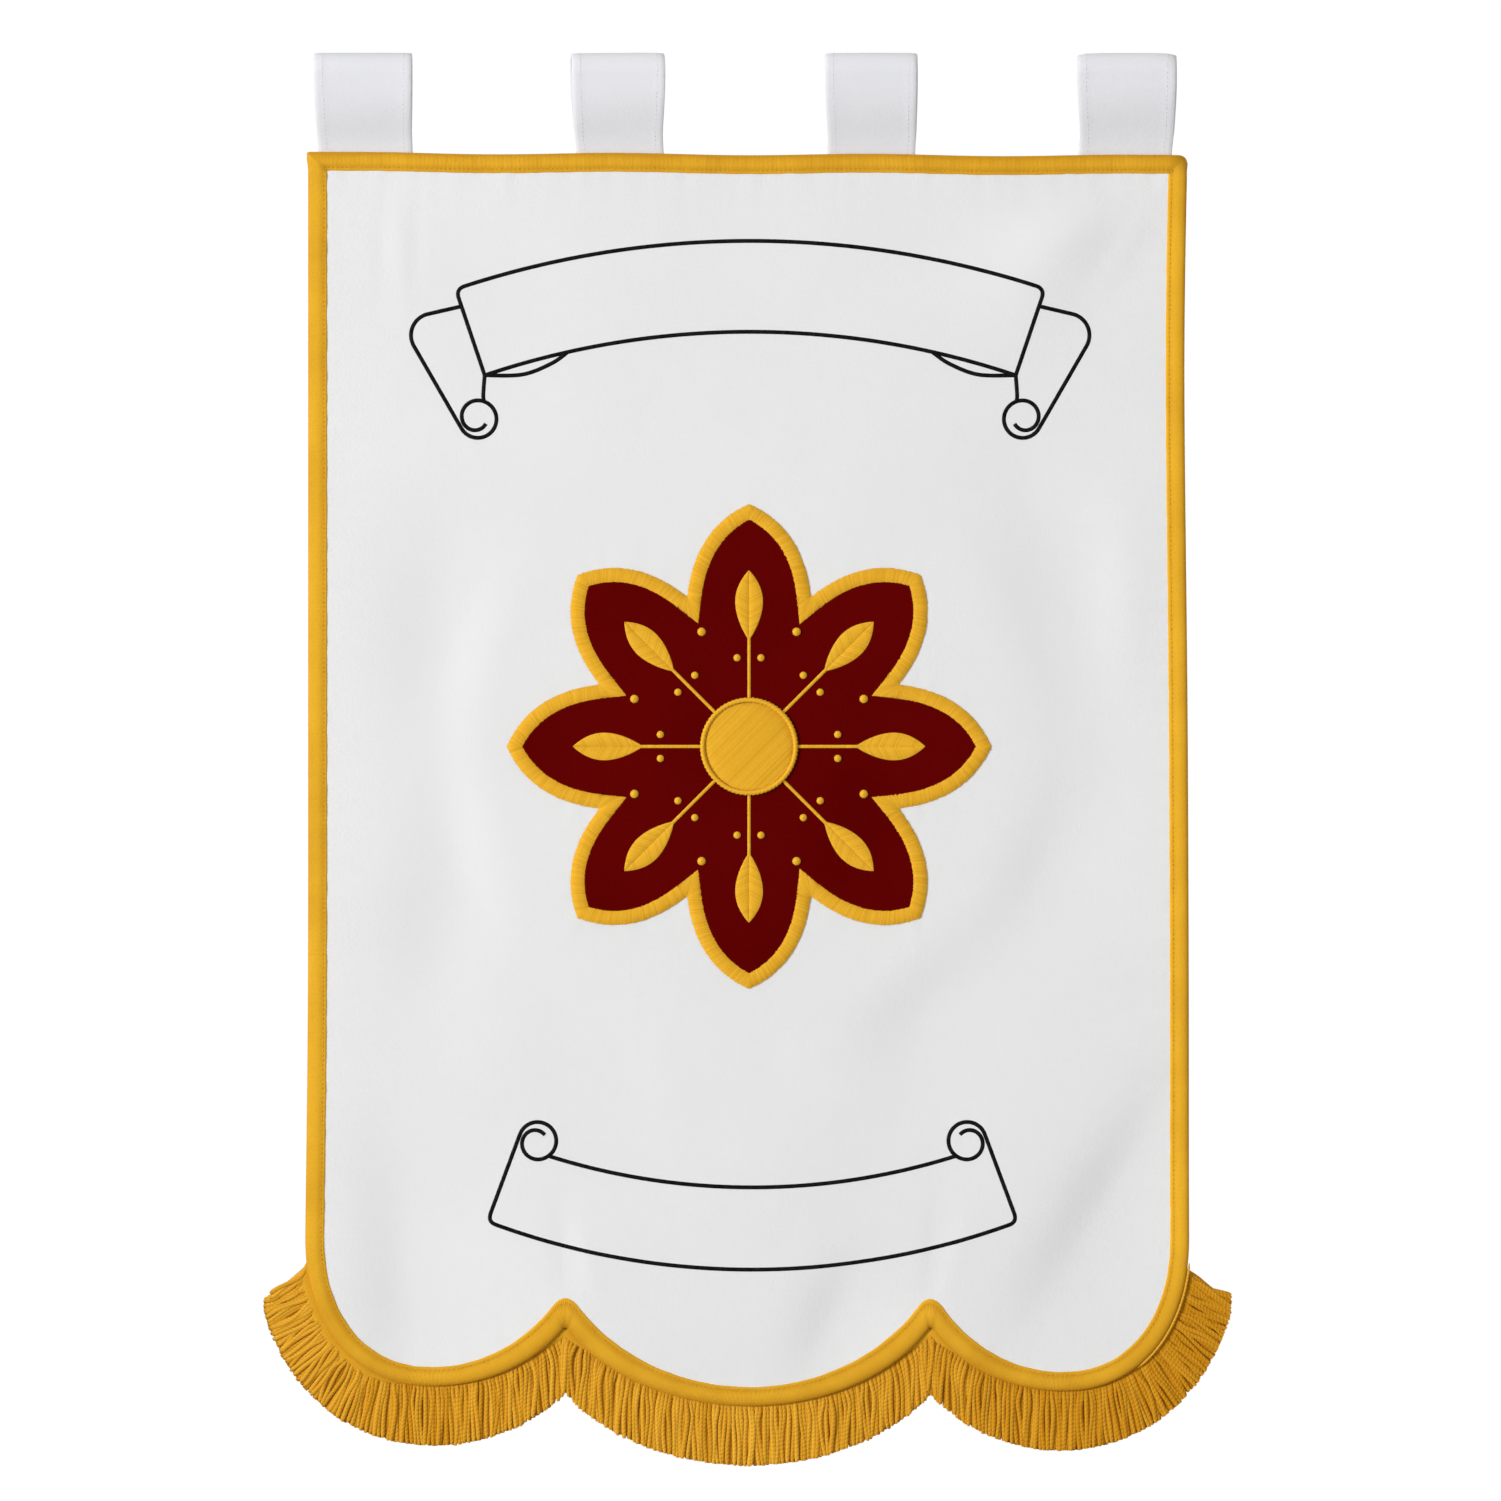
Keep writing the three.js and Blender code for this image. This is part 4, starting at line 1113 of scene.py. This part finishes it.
TAB_STEPS = {"tail": 10, "rise": 40, "loop": 30, "all": 110}
TAB_COLUMNS = 25
TAB_COLUMN_SPAN = 0.492
TAB_HALF = 0.6
TAB_EDGE = {"width": 0.3, "half": 0.35}
TAB_HEM = {"width": 6.0, "ease": 1.6, "height": 0.16}
TAB_FREE = {"z": -56.0, "run": 20.0}
TAB_ARCH = {"z": -14.0, "run": 26.0, "power": 6}
TAB_DENT = {"depth": 0.35, "waves": (37.0, 61.0), "across": 3.1}
TAB_SEED = 60
TAB_STITCH_PITCH = 3.0
TAB_STITCH_COLUMN = 3
TAB_HEM_STITCH = {"length": 2.1, "width": 0.5, "height": 0.4}
TAB_BOX_STITCH = {"length": 2.2, "width": 0.5, "height": 0.4}
TAB_BOX = {"side": 6.0, "top": 4.0, "foot": 5.0, "proud": 0.02}


def tab_line(base_z):
    """The strip's middle line in depth and height: up behind the panel, round the rod and down."""
    radius = TAB_LOOP_RADIUS + TAB_THICKNESS / 2
    layer = (PIECE_GAP + TAB_THICKNESS) / 2
    turn = TAB_LOOP_TURN
    a = np.array([-layer, base_z])
    b = np.array([-layer, base_z * TAB_STRAIGHT_SHARE])
    d = np.array([-radius * math.sin(turn), radius * math.cos(turn)])
    c = d - [TAB_LOOP_EASE[0] * math.cos(turn - math.pi), TAB_LOOP_EASE[1] * math.sin(turn)]
    t = np.linspace(0, 1, TAB_STEPS["rise"])[:, None]
    rise = (1 - t) ** 3 * a + 3 * t * (1 - t) ** 2 * b + 3 * t**2 * (1 - t) * c + t**3 * d
    angle = np.linspace(turn, 0, TAB_STEPS["loop"])[1:]
    loop = np.stack([-radius * np.sin(angle), radius * np.cos(angle)], -1)
    tail_z = np.linspace(base_z - TAB_TAIL, base_z, TAB_STEPS["tail"], endpoint=False)
    tail = np.stack([np.full(len(tail_z), -layer), tail_z], -1)
    half = np.concatenate([tail, rise, loop])
    return np.concatenate([half, half[-2::-1] * [-1, 1]])


def tab_section(width):
    """Shares across a strip, edge to edge, and its half thickness: thicker at the turned hems."""
    u = np.concatenate([[-0.5], np.linspace(-TAB_COLUMN_SPAN, TAB_COLUMN_SPAN, TAB_COLUMNS), [0.5]])
    edge = (0.5 - np.abs(u)) * width
    hem = TAB_HEM["height"] * (1 - smoothstep((edge - TAB_HEM["width"]) / TAB_HEM["ease"]))
    return u, np.where(edge < TAB_EDGE["width"], TAB_EDGE["half"], TAB_HALF + hem)


def tab_rings(tab, seed):
    """Sections of a strip along its loop, and the length along it."""
    base_z = float(top_edge_z(tab["centre"]))
    line = resample(tab_line(base_z), TAB_STEPS["all"])
    out = inward_of(line)
    s = path_length(line)
    drop = smoothstep(line[:, 1] / base_z)
    width = tab["top"] + (tab["base"] - tab["top"]) * drop
    u, half = tab_section(tab["top"])
    free = smoothstep((line[:, 1] - TAB_FREE["z"]) / TAB_FREE["run"])[:, None]
    x = tab["centre"] + tab["shift"] * drop[:, None] + u[None] * width[:, None]
    x = x + tab["skew"] * (line[:, :1] + TAB_LOOP_RADIUS) / (2 * TAB_LOOP_RADIUS) * free
    high = smoothstep((line[:, 1] - TAB_ARCH["z"]) / TAB_ARCH["run"])[:, None]
    fall = tab["arch"] * high * (2 * np.abs(u[None])) ** TAB_ARCH["power"]
    wave = waver(s, TAB_DENT["waves"], seed)[:, None]
    dent = TAB_DENT["depth"] * free * wave * np.cos(TAB_DENT["across"] * u + seed)[None]
    faces = []
    for sign in (1, -1):
        y = line[:, None, 0] + out[:, None, 0] * (sign * half + dent)
        z = line[:, None, 1] + out[:, None, 1] * (sign * half + dent) - fall
        faces.append(np.stack([x, y, z], -1)[:, ::sign])
    return np.concatenate(faces, 1), s


def build_tab(tab, rings):
    count, around = rings.shape[:2]
    faces = ring_quads(count, around)[:, ::-1]
    start = np.arange(around)[None, ::-1]
    end = start[:, ::-1] + (count - 1) * around
    piece = make_piece(f"{tab['name']}_cloth", rings, [faces, start, end], TAB_CLOTH)
    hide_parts(tab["name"])


def tab_hem_stitches(rings, s):
    """Topstitching along a tab's two hems."""
    columns = rings.shape[1] // 2
    for column in (TAB_STITCH_COLUMN, columns - 1 - TAB_STITCH_COLUMN):
        run = resample(rings[:, column], int(s[-1] / TAB_STITCH_PITCH))
        ways = ways_along(run)
        yield stitch_run(run, ways, np.cross([1.0, 0.0, 0.0], ways), **TAB_HEM_STITCH)


def tab_box_stitches(tab):
    """A sewn box with crossed diagonals, on the back of a tab's tail."""
    base = float(top_edge_z(tab["centre"]))
    left = tab["centre"] + tab["shift"] - tab["base"] / 2 + TAB_BOX["side"]
    right = left + tab["base"] - 2 * TAB_BOX["side"]
    top, bottom = base - TAB_BOX["top"], base - TAB_TAIL + TAB_BOX["foot"]
    corners = np.array([
        (left, top), (right, top), (right, bottom), (left, bottom),
        (left, top), (right, bottom), (left, bottom), (right, top),
    ])
    for a, b in zip(corners, corners[1:]):
        count = int(math.dist(a, b) / TAB_STITCH_PITCH)
        share = (np.arange(count) + 0.5)[:, None] / count
        centres = at_depth(a * (1 - share) + b * share, PIECE_GAP / 2 + TAB_THICKNESS + TAB_BOX["proud"])
        way = unit(b - a)
        ways = np.tile([way[0], 0.0, way[1]], (count, 1))
        yield stitch_run(centres, ways, np.tile([0.0, 1.0, 0.0], (count, 1)), **TAB_BOX_STITCH)


def build_tabs():
    stitches = []
    for number, tab in enumerate(TABS):
        rings, s = tab_rings(tab, TAB_SEED + number)
        build_tab(tab, rings)
        stitches += [*tab_hem_stitches(rings, s), *tab_box_stitches(tab)]
    sewn_piece("tab_stitches", stitches, WHITE_THREAD)


# Rosette: appliqué edged, filled and dotted in gold thread

THREAD_PITCH = 0.55
THREAD_WIDTH = THREAD_PITCH * 1.25
THREAD_STEPS = 6
THREAD_SECTION = [(-0.5, -0.16), (0.0, 0.1), (0.5, -0.16)]
ARCH_POWER = 0.8
BORDER_WIDTH = 11.0
BORDER_CROWN = 2.0
BORDER_BASE = 0.5
BORDER_STEPS = 60
BORDER_SLANT = 1.6
BORDER_UNEVEN = {"end": 0.16, "inside": 0.1, "rise": 0.05}
BORDER_SEED = 70
BORDER_PAD = [(0.0, -0.4), (0.02, 0.3), (0.25, 1.45), (0.5, 1.75), (0.75, 1.45), (0.98, 0.3), (1.0, -0.4)]
PAD_COUNT = 800
PAD_TONE = 0.9
GROUND_HEIGHT = 1.5
GROUND_STEPS = 30
GROUND_RINGS = 30
GROUND_SUNK = 0.2
GROUND_MIDDLE = 0.002
GROUND_SWELL = {"height": 0.12, "x": 17.0, "z": 23.0}
CENTRE_RADIUS = 31.0
CENTRE_CROWN = 2.6
CENTRE_POWER = 0.7
CENTRE_STEPS = 16
CENTRE_MARGIN = 0.3
CENTRE_TILT = math.radians(45)
CENTRE_CORD = {
    "rings": 240, "sides": 8, "radius": 1.7, "out": 1.2, "up": 0.9, "ply": 0.16, "twists": 36, "tone": 0.35,
}
BUD = {
    "near": 74.0, "far": 122.0, "half_width": 9.5, "slant": 0.55, "rise": 0.35, "fullness": 0.05, "base": 0.1,
}
BUD_SHAPE = {"tip": 0.85, "round": 0.9}
BUD_THREAD_WIDTH = THREAD_PITCH * 1.3
STEM = {
    "near": 34.5, "far": 75.0, "threads": 14, "half": 1.1,
    "rise": 0.5, "base": 0.05, "width": 3.4, "steps": 5,
}
SMALL_KNOT = {"radius": 2.6, "height": 1.7}
LARGE_KNOT = {"radius": 3.0, "height": 1.9}
SMALL_KNOT_PLACE = 62.0
SMALL_KNOT_TURN = 0.341 * HALF_PETAL
LARGE_KNOT_PLACE = 86.0
KNOT_RINGS = [(1.0, 0.0), (0.9, 0.45), (0.6, 0.8), (0.08, 1.0)]
KNOT_SIDES = 10
KNOT_TONE = 0.3


def on_rosette(flat, height):
    """Points of the rosette's own front view, raised from the cloth."""
    return at_depth(flat + [ROSETTE_X, ROSETTE_Z], PANEL_FRONT - height)


def thread_fan(starts, ends, rise, base, width, steps=THREAD_STEPS):
    """Satin stitches from start to end points, arched by rise over a base height."""
    t = np.linspace(0, 1, steps)
    count, across = len(starts), len(THREAD_SECTION)
    middle = starts[:, None] * (1 - t)[None, :, None] + ends[:, None] * t[None, :, None]
    square = left_of(unit(ends - starts))
    arch = np.sqrt(np.clip(1 - (2 * t - 1) ** 2, 0, 1)) ** ARCH_POWER
    height = base + np.asarray(rise).reshape(-1, 1) * arch[None, :]
    lines = []
    for side, drop in THREAD_SECTION:
        lines.append(on_rosette(middle + square[:, None] * side * width, height + drop))
    points = np.stack(lines, 2)
    faces = repeat_faces(ring_quads(steps, across, wrap=False), count, steps * across)
    return points.reshape(-1, 3), faces, thread_tones(count, steps * across)


def border_threads(outer, inner, middle):
    """Threads across the border, slanted, their ends a little uneven."""
    count = int(middle[-1] / THREAD_PITCH)
    at = np.linspace(0, middle[-1], count, endpoint=False)
    starts = at_lengths(at, middle, outer)
    ends = at_lengths((at + BORDER_SLANT) % middle[-1], middle, inner)
    local = np.random.default_rng(BORDER_SEED)
    outward = unit(starts - ends)
    starts = starts + outward * local.normal(0, BORDER_UNEVEN["end"], (count, 1))
    ends = ends - outward * local.normal(BORDER_UNEVEN["inside"], BORDER_UNEVEN["end"], (count, 1))
    rise = BORDER_CROWN - BORDER_BASE + local.normal(0, BORDER_UNEVEN["rise"], count)
    return thread_fan(starts, ends, rise, BORDER_BASE, THREAD_WIDTH)


def border_pad(outer, inner, middle):
    """The padding under the border's threads."""
    spots = np.linspace(0, middle[-1], PAD_COUNT)
    rows = []
    for share, height in BORDER_PAD:
        rows.append(on_rosette(at_lengths(spots, middle, outer * (1 - share) + inner * share), height))
    points = np.stack(rows, 1).reshape(-1, 3)
    return points, ring_quads(PAD_COUNT, len(rows), wrap=False), np.full(len(points), PAD_TONE)


def build_rosette_border():
    """Satin-stitched edging: thousands of threads across a padded band."""
    outer = rosette_line(BORDER_STEPS)
    inner = inset_line(outer, BORDER_WIDTH)
    outer, inner = (np.concatenate([line, line[:1]]) for line in (outer, inner))
    middle = path_length((outer + inner) / 2)
    parts = [border_threads(outer, inner, middle), border_pad(outer, inner, middle)]
    piece = sewn_piece("rosette_border_stitching", parts, GOLD_THREAD)
    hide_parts("rosette_border")
    return piece


def build_rosette_ground():
    """Dark red cloth filling the border, drawn slightly full between its stitches."""
    loop = rosette_line(GROUND_STEPS) * (1 - BORDER_WIDTH / 2 / PETAL_VALLEY)
    share = np.linspace(0.0, 1.0, GROUND_RINGS)
    share[0] = GROUND_MIDDLE
    flat = loop[None] * share[:, None, None]
    wave = np.sin(flat[..., 0] / GROUND_SWELL["x"]) * np.cos(flat[..., 1] / GROUND_SWELL["z"])
    points = on_rosette(flat, GROUND_HEIGHT - GROUND_SUNK + GROUND_SWELL["height"] * wave)
    faces = [ring_quads(GROUND_RINGS, len(loop))]
    piece = make_piece("rosette_ground_cloth", points, faces, RED_CLOTH)
    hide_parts("rosette_ground")
    return piece


def centre_threads():
    """Parallel stitches over the padded disc."""
    reach = CENTRE_RADIUS - CENTRE_MARGIN
    across = np.linspace(-reach, reach, int(2 * CENTRE_RADIUS / THREAD_PITCH))
    half = np.sqrt(np.clip(CENTRE_RADIUS**2 - across**2, 0, None))
    way = np.array([math.cos(CENTRE_TILT), math.sin(CENTRE_TILT)])
    starts, ends = (across[:, None] * left_of(way) + side * half[:, None] * way for side in (-1, 1))
    rise = CENTRE_CROWN * (half / CENTRE_RADIUS) ** CENTRE_POWER
    return thread_fan(starts, ends, rise, GROUND_HEIGHT, THREAD_WIDTH, CENTRE_STEPS)


def centre_cord():
    """Twisted cord couched round the disc."""
    cord = CENTRE_CORD
    angle = np.linspace(0, 2 * math.pi, cord["rings"] + 1)
    turn = turns(cord["sides"])
    ply = 1 + cord["ply"] * np.cos(2 * (turn[None] - angle[:, None] * cord["twists"]))
    radius = CENTRE_RADIUS + cord["out"] + cord["radius"] * ply * np.cos(turn)[None]
    flat = radius[..., None] * np.stack([np.cos(angle), np.sin(angle)], -1)[:, None]
    height = GROUND_HEIGHT + cord["up"] + cord["radius"] * ply * np.sin(turn)[None]
    points = on_rosette(flat, height).reshape(-1, 3)
    return points, ring_quads(len(angle), cord["sides"]), np.full(len(points), cord["tone"])


def build_rosette_centre():
    """Padded gold disc inside a couched cord."""
    parts = [centre_threads(), centre_cord()]
    piece = sewn_piece("rosette_centre_stitching", parts, GOLD_THREAD)
    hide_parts("rosette_centre")
    return piece


def bud_threads(angle):
    """A pointed bud in satin stitch: two slanted halves that meet along its middle."""
    length = BUD["far"] - BUD["near"]
    count = int(length / THREAD_PITCH)
    t = (np.arange(count) + 0.5) / count
    radius = BUD["near"] + length * t
    half = BUD["half_width"] * np.sin(math.pi * t ** BUD_SHAPE["tip"]) ** BUD_SHAPE["round"]
    out = ray(angle)
    starts = radius[:, None] * out
    rise = BUD["rise"] + BUD["fullness"] * half
    for side in (-1, 1):
        ends = (radius + half * BUD["slant"])[:, None] * out - side * half[:, None] * left_of(out)
        yield thread_fan(starts, ends, rise, GROUND_HEIGHT + BUD["base"], BUD_THREAD_WIDTH)


def stem_threads(angle):
    """A stem of short stitches, from the disc to a bud."""
    out = ray(angle)
    middle = np.linspace(STEM["near"], STEM["far"], STEM["threads"])[:, None] * out
    side = -left_of(out) * STEM["half"]
    rise = np.full(STEM["threads"], STEM["rise"])
    base = GROUND_HEIGHT + STEM["base"]
    return thread_fan(middle - side, middle + side, rise, base, STEM["width"], STEM["steps"])


def knot(centre, radius, height):
    """A small round knot of thread."""
    reach, level = np.array(KNOT_RINGS).T
    turn = turns(KNOT_SIDES)
    flat = centre + radius * reach[:, None, None] * np.stack([np.cos(turn), np.sin(turn)], -1)[None]
    points = on_rosette(flat, (GROUND_HEIGHT + height * level)[:, None]).reshape(-1, 3)
    return points, ring_quads(len(reach), KNOT_SIDES), np.full(len(points), KNOT_TONE)


def build_rosette_buds():
    """Gold buds, stems and knots sewn on the petals."""
    parts = []
    for i in range(PETALS):
        angle = 2 * HALF_PETAL * i
        parts += [*bud_threads(angle), stem_threads(angle)]
        for turn in (-SMALL_KNOT_TURN, SMALL_KNOT_TURN):
            parts.append(knot(SMALL_KNOT_PLACE * ray(angle + turn), **SMALL_KNOT))
        parts.append(knot(LARGE_KNOT_PLACE * ray(angle + HALF_PETAL), **LARGE_KNOT))
    return sewn_piece("rosette_buds", parts, GOLD_THREAD)


# Ribbon outlines in black stitching, drawn from arcs whose angles are in degrees

LINE_WIDTH = 3.0
LINE_HEIGHT = 0.5
LINE_STEP = 1.6
LINE_SECTION = [(-0.5, -0.15), (-0.36, 0.6), (0.0, 1.0), (0.36, 0.6), (0.5, -0.15)]
UPPER_RIBBON = {"x": 1.5, "crown_z": -115.0, "radius": 640.0, "width": 63.0, "half_angle": 18.6}
LOWER_RIBBON = {"x": 3.0, "crown_z": -771.0, "radius": 470.0, "width": 57.0, "half_angle": 20.4}
RIBBON_CORNER = 5.0
CORNER_POINTS = 10
STRAIGHT_POINTS = 40
ARC_POINTS = {"fine": 400, "long": 200, "edge": 60, "bend": 12, "scroll": 90}
TAIL_POINTS = {"neck": 60, "back": 20, "fold": 40}
LEAST_POINTS = 6
NECK_SHARE = 0.2
SHOULDER = np.array([20.0, -20.0])
SHOULDER_RADIUS = 15.0
SHOULDER_TURN = (13, 120)
TAIL_LENGTH = 66.0
TAIL_LEAN = math.radians(30)
TAIL_BACK = (1.0, -14.0)
TAIL_MEETS_ROLL = 340
FOLD_BACK = [(0.0, 0.0), (26.0, -0.5), (46.0, -8.0)]
FOLD_BACK_END = 0.68
ROLL_RADIUS = 13.0
ROLL_TURN = 480
ROLL_SHRINK = 0.5
LOWER_ROLL_RISE = 0.6


def round_joined(runs):
    """Runs that meet end to end, as one stroke with rounded corners."""
    stroke = runs[0]
    t = np.linspace(0, 1, CORNER_POINTS)[1:-1, None]
    for run in runs[1:]:
        corner = run[0]
        before, after = (r[np.linalg.norm(r - corner, axis=1) > RIBBON_CORNER] for r in (stroke, run))
        stroke = np.concatenate([before, bezier(t, before[-1], corner, after[0]), after])
    return stroke


def arc(centre, radius, start, end, count):
    """Points of an arc, angles in degrees from straight up, clockwise in the front view."""
    angle = np.radians(np.linspace(start, end, count))
    radius = np.broadcast_to(radius, count)
    return np.stack([centre[0] + radius * np.sin(angle), centre[1] + radius * np.cos(angle)], -1)


def polar(centre, radius, angle):
    return arc(centre, radius, angle, angle, 1)[0]


def scroll(centre, start, turn):
    """A rolled end: most of a circle, then a spiral into it."""
    count = ARC_POINTS["scroll"]
    shrink = 1 - ROLL_SHRINK * smoothstep(np.linspace(-1.0, 1.0, count))
    return arc(centre, ROLL_RADIUS * shrink, start, start + turn, count)


def band(edge, first, last):
    """A band's edge closed at both ends by straight lines to two points."""
    start, end = np.linspace(first, edge[0], STRAIGHT_POINTS), np.linspace(edge[-1], last, STRAIGHT_POINTS)
    return round_joined([start, edge, end])


def tail_strokes(side, outer, inner, fold_end):
    """One end of the upper ribbon: folded back into a hanging tail with a scrolled foot."""
    mirror = np.array([side, 1.0])
    lean = np.array([math.sin(TAIL_LEAN), math.cos(TAIL_LEAN)])
    neck = outer * (1 - NECK_SHARE) + inner * NECK_SHARE
    turn = [side * angle for angle in SHOULDER_TURN]
    bend = arc(neck + mirror * SHOULDER, SHOULDER_RADIUS, *turn, ARC_POINTS["bend"])
    foot = bend[-1] - TAIL_LENGTH * mirror * lean
    roll = foot + ROLL_RADIUS * mirror * left_of(lean)
    meet = polar(roll, ROLL_RADIUS, side * TAIL_MEETS_ROLL)
    fold = [inner - mirror * step for step in FOLD_BACK]
    return [
        smooth_run([neck, *bend], TAIL_POINTS["neck"]),
        np.array([bend[-1], foot]),
        scroll(roll, turn[1], side * ROLL_TURN),
        smooth_run([inner, inner + mirror * TAIL_BACK, meet], TAIL_POINTS["back"]),
        smooth_run([*fold, fold_end], TAIL_POINTS["fold"]),
    ]


def upper_ribbon_strokes(ribbon):
    """An arched band whose ends fold back into hanging tails."""
    radius, end = ribbon["radius"], ribbon["half_angle"]
    centre, low = (0.0, ribbon["crown_z"] - radius), radius - ribbon["width"]
    crown = arc(centre, radius, -end, end, ARC_POINTS["long"])
    foot = arc(centre, low, -end, end, ARC_POINTS["edge"])
    strokes = [band(crown, foot[0], foot[-1]), foot]
    for side in (-1, 1):
        outer, inner = (polar(centre, reach, side * end) for reach in (radius, low))
        strokes += tail_strokes(side, outer, inner, polar(centre, low, side * end * FOLD_BACK_END))
    return strokes


def lower_ribbon_strokes(ribbon):
    """A hanging band, its ends scrolled forward at the top."""
    radius, end = ribbon["radius"], ribbon["half_angle"]
    centre = (0.0, ribbon["crown_z"] + radius)
    brim = arc(centre, radius, 180 - end, 180 + end, ARC_POINTS["fine"])
    hem = arc(centre, radius + ribbon["width"], 180 - end, 180 + end, ARC_POINTS["long"])
    tops, scrolls = [], []
    for side in (1, -1):
        tops.append(polar(centre, radius - ROLL_RADIUS * LOWER_ROLL_RISE, 180 - side * end))
        lean = np.array([side * math.cos(math.radians(end)), math.sin(math.radians(end))])
        roll = tops[-1] - ROLL_RADIUS * lean
        clear = np.linalg.norm(brim - roll, axis=1) > ROLL_RADIUS
        brim = brim[clear & (side * brim[:, 0] < side * roll[0])]
        scrolls.append(scroll(roll, side * (90 - end), -side * ROLL_TURN))
    return [brim, band(hem, *tops), *scrolls]


def line_stitching(run):
    """A narrow arched band of stitching lying on the cloth along a stroke."""
    run = resample(run, max(int(path_length(run)[-1] / LINE_STEP), LEAST_POINTS))
    aside, lift = np.array(LINE_SECTION).T
    flat = run[:, None] + inward_of(run)[:, None] * (aside * LINE_WIDTH)[None, :, None]
    points = at_depth(flat, cloth_y(flat) - PANEL_THICKNESS / 2 - lift[None] * LINE_HEIGHT)
    count, across = flat.shape[:2]
    return points.reshape(-1, 3), ring_quads(count, across, wrap=False), thread_tones(count, across)


def build_ribbon(name, ribbon, strokes):
    parts = [line_stitching(stroke + [ribbon["x"], 0]) for stroke in strokes]
    return sewn_piece(name, parts, BLACK_THREAD)


# Stage, light and camera: lengths in metres unless the name says MM

PHOTO_WIDTH_MM = 1040.5
CAMERA_DISTANCE = 4.0
CAMERA_X_MM = 1.7
CAMERA_Z_MM = -468.2
SENSOR_WIDTH_MM = 36.0
FLOOR = {"size": 3.0, "z": -1.25, "shade": 0.46}
BACKDROP = {"segments": 48, "ring_count": 24, "radius": 9.0, "location": (0, 0, -0.5)}
BACKDROP_GLOW = 1.0
AREA_SAMPLES = 100
ROOM_LIGHT = 0.622
ROOM_FALL = 0.64
SKY_LIGHT = 1.6
SKY_POWER = 8.0
LIGHT_AIM = (0.0, 0.0, -0.45)
LIGHTS = [
    {"name": "key", "place": (-6.9, -5.8, 0.7), "size": 2.4, "power": 685.0},
    {"name": "fill", "place": (2.5, 6.5, 1.0), "size": 3.0, "power": 200.0},
]


def build_stage():
    bpy.ops.mesh.primitive_plane_add(size=FLOOR["size"], location=(0, 0, FLOOR["z"]))
    floor = bpy.context.object
    floor.name = "floor"
    floor.data.materials.append(plain_surface("floor_pale", (FLOOR["shade"],) * 3))
    bpy.ops.mesh.primitive_uv_sphere_add(**BACKDROP)
    dome = bpy.context.object
    dome.name = "backdrop"
    dome.data.materials.append(plain_surface("backdrop_white", (0.0, 0.0, 0.0), BACKDROP_GLOW))
    dome.visible_diffuse = False
    dome.visible_glossy = False
    dome.visible_transmission = False
    dome.visible_shadow = False


def area_light(name, place, size, power):
    data = bpy.data.lights.new(name, "AREA")
    data.shape = "DISK"
    data.size = size
    data.energy = power
    light = bpy.data.objects.new(name, data)
    light.location = place
    way = Vector(LIGHT_AIM) - Vector(place)
    light.rotation_euler = way.to_track_quat("-Z", "Y").to_euler()
    bpy.context.scene.collection.objects.link(light)


def build_light():
    """A wide soft light from the left, a weaker one from behind, and a pale room with a bright ceiling."""
    world = bpy.data.worlds.new("studio")
    world.use_nodes = True
    tree = world.node_tree
    background = tree.nodes["Background"]
    background.inputs["Color"].default_value = (1.0, 1.0, 1.0, 1.0)
    up = axes_of(tree, place_in(tree, "Generated"))[2]
    room = added(tree, scaled(tree, scaled(tree, up, up), -ROOM_FALL), ROOM_LIGHT)
    overhead = math_node(tree, "POWER", math_node(tree, "MAXIMUM", up, 0.0), SKY_POWER)
    strength = added(tree, room, scaled(tree, overhead, SKY_LIGHT))
    tree.links.new(strength, background.inputs["Strength"])
    bpy.context.scene.world = world
    for light in LIGHTS:
        area_light(**light)


def build_camera():
    data = bpy.data.cameras.new("camera")
    data.sensor_width = SENSOR_WIDTH_MM
    data.lens = data.sensor_width * CAMERA_DISTANCE / (PHOTO_WIDTH_MM * MM)
    camera = bpy.data.objects.new("camera", data)
    camera.location = (CAMERA_X_MM * MM, PANEL_Y * MM - CAMERA_DISTANCE, CAMERA_Z_MM * MM)
    camera.rotation_euler = (math.pi / 2, 0.0, 0.0)
    bpy.context.scene.collection.objects.link(camera)
    bpy.context.scene.camera = camera
    bpy.context.scene.view_settings.view_transform = "Standard"


def edge_area():
    """Flat area inside the bound edge, in square metres."""
    loop = np.concatenate([ROUND_EDGE, top_line(AREA_SAMPLES)[1:-1]])
    after = np.roll(loop, -1, 0)
    return abs(np.sum(loop[:, 0] * after[:, 1] - after[:, 0] * loop[:, 1])) / 2 * MM**2


def main():
    panel = build_panel()
    sewn_on = build_binding() + build_fringe()
    sewn_on.append(build_tape_stitches())
    build_tabs()
    sewn_on += [build_rosette_border(), build_rosette_ground(), build_rosette_centre(), build_rosette_buds()]
    sewn_on.append(build_ribbon("ribbon_upper", UPPER_RIBBON, upper_ribbon_strokes(UPPER_RIBBON)))
    sewn_on.append(build_ribbon("ribbon_lower", LOWER_RIBBON, lower_ribbon_strokes(LOWER_RIBBON)))
    height = (top_edge_z(0.0) - SCALLOPS[1]["z"]) * MM
    edge_area()
    build_stage()
    build_light()
    build_camera()


main()
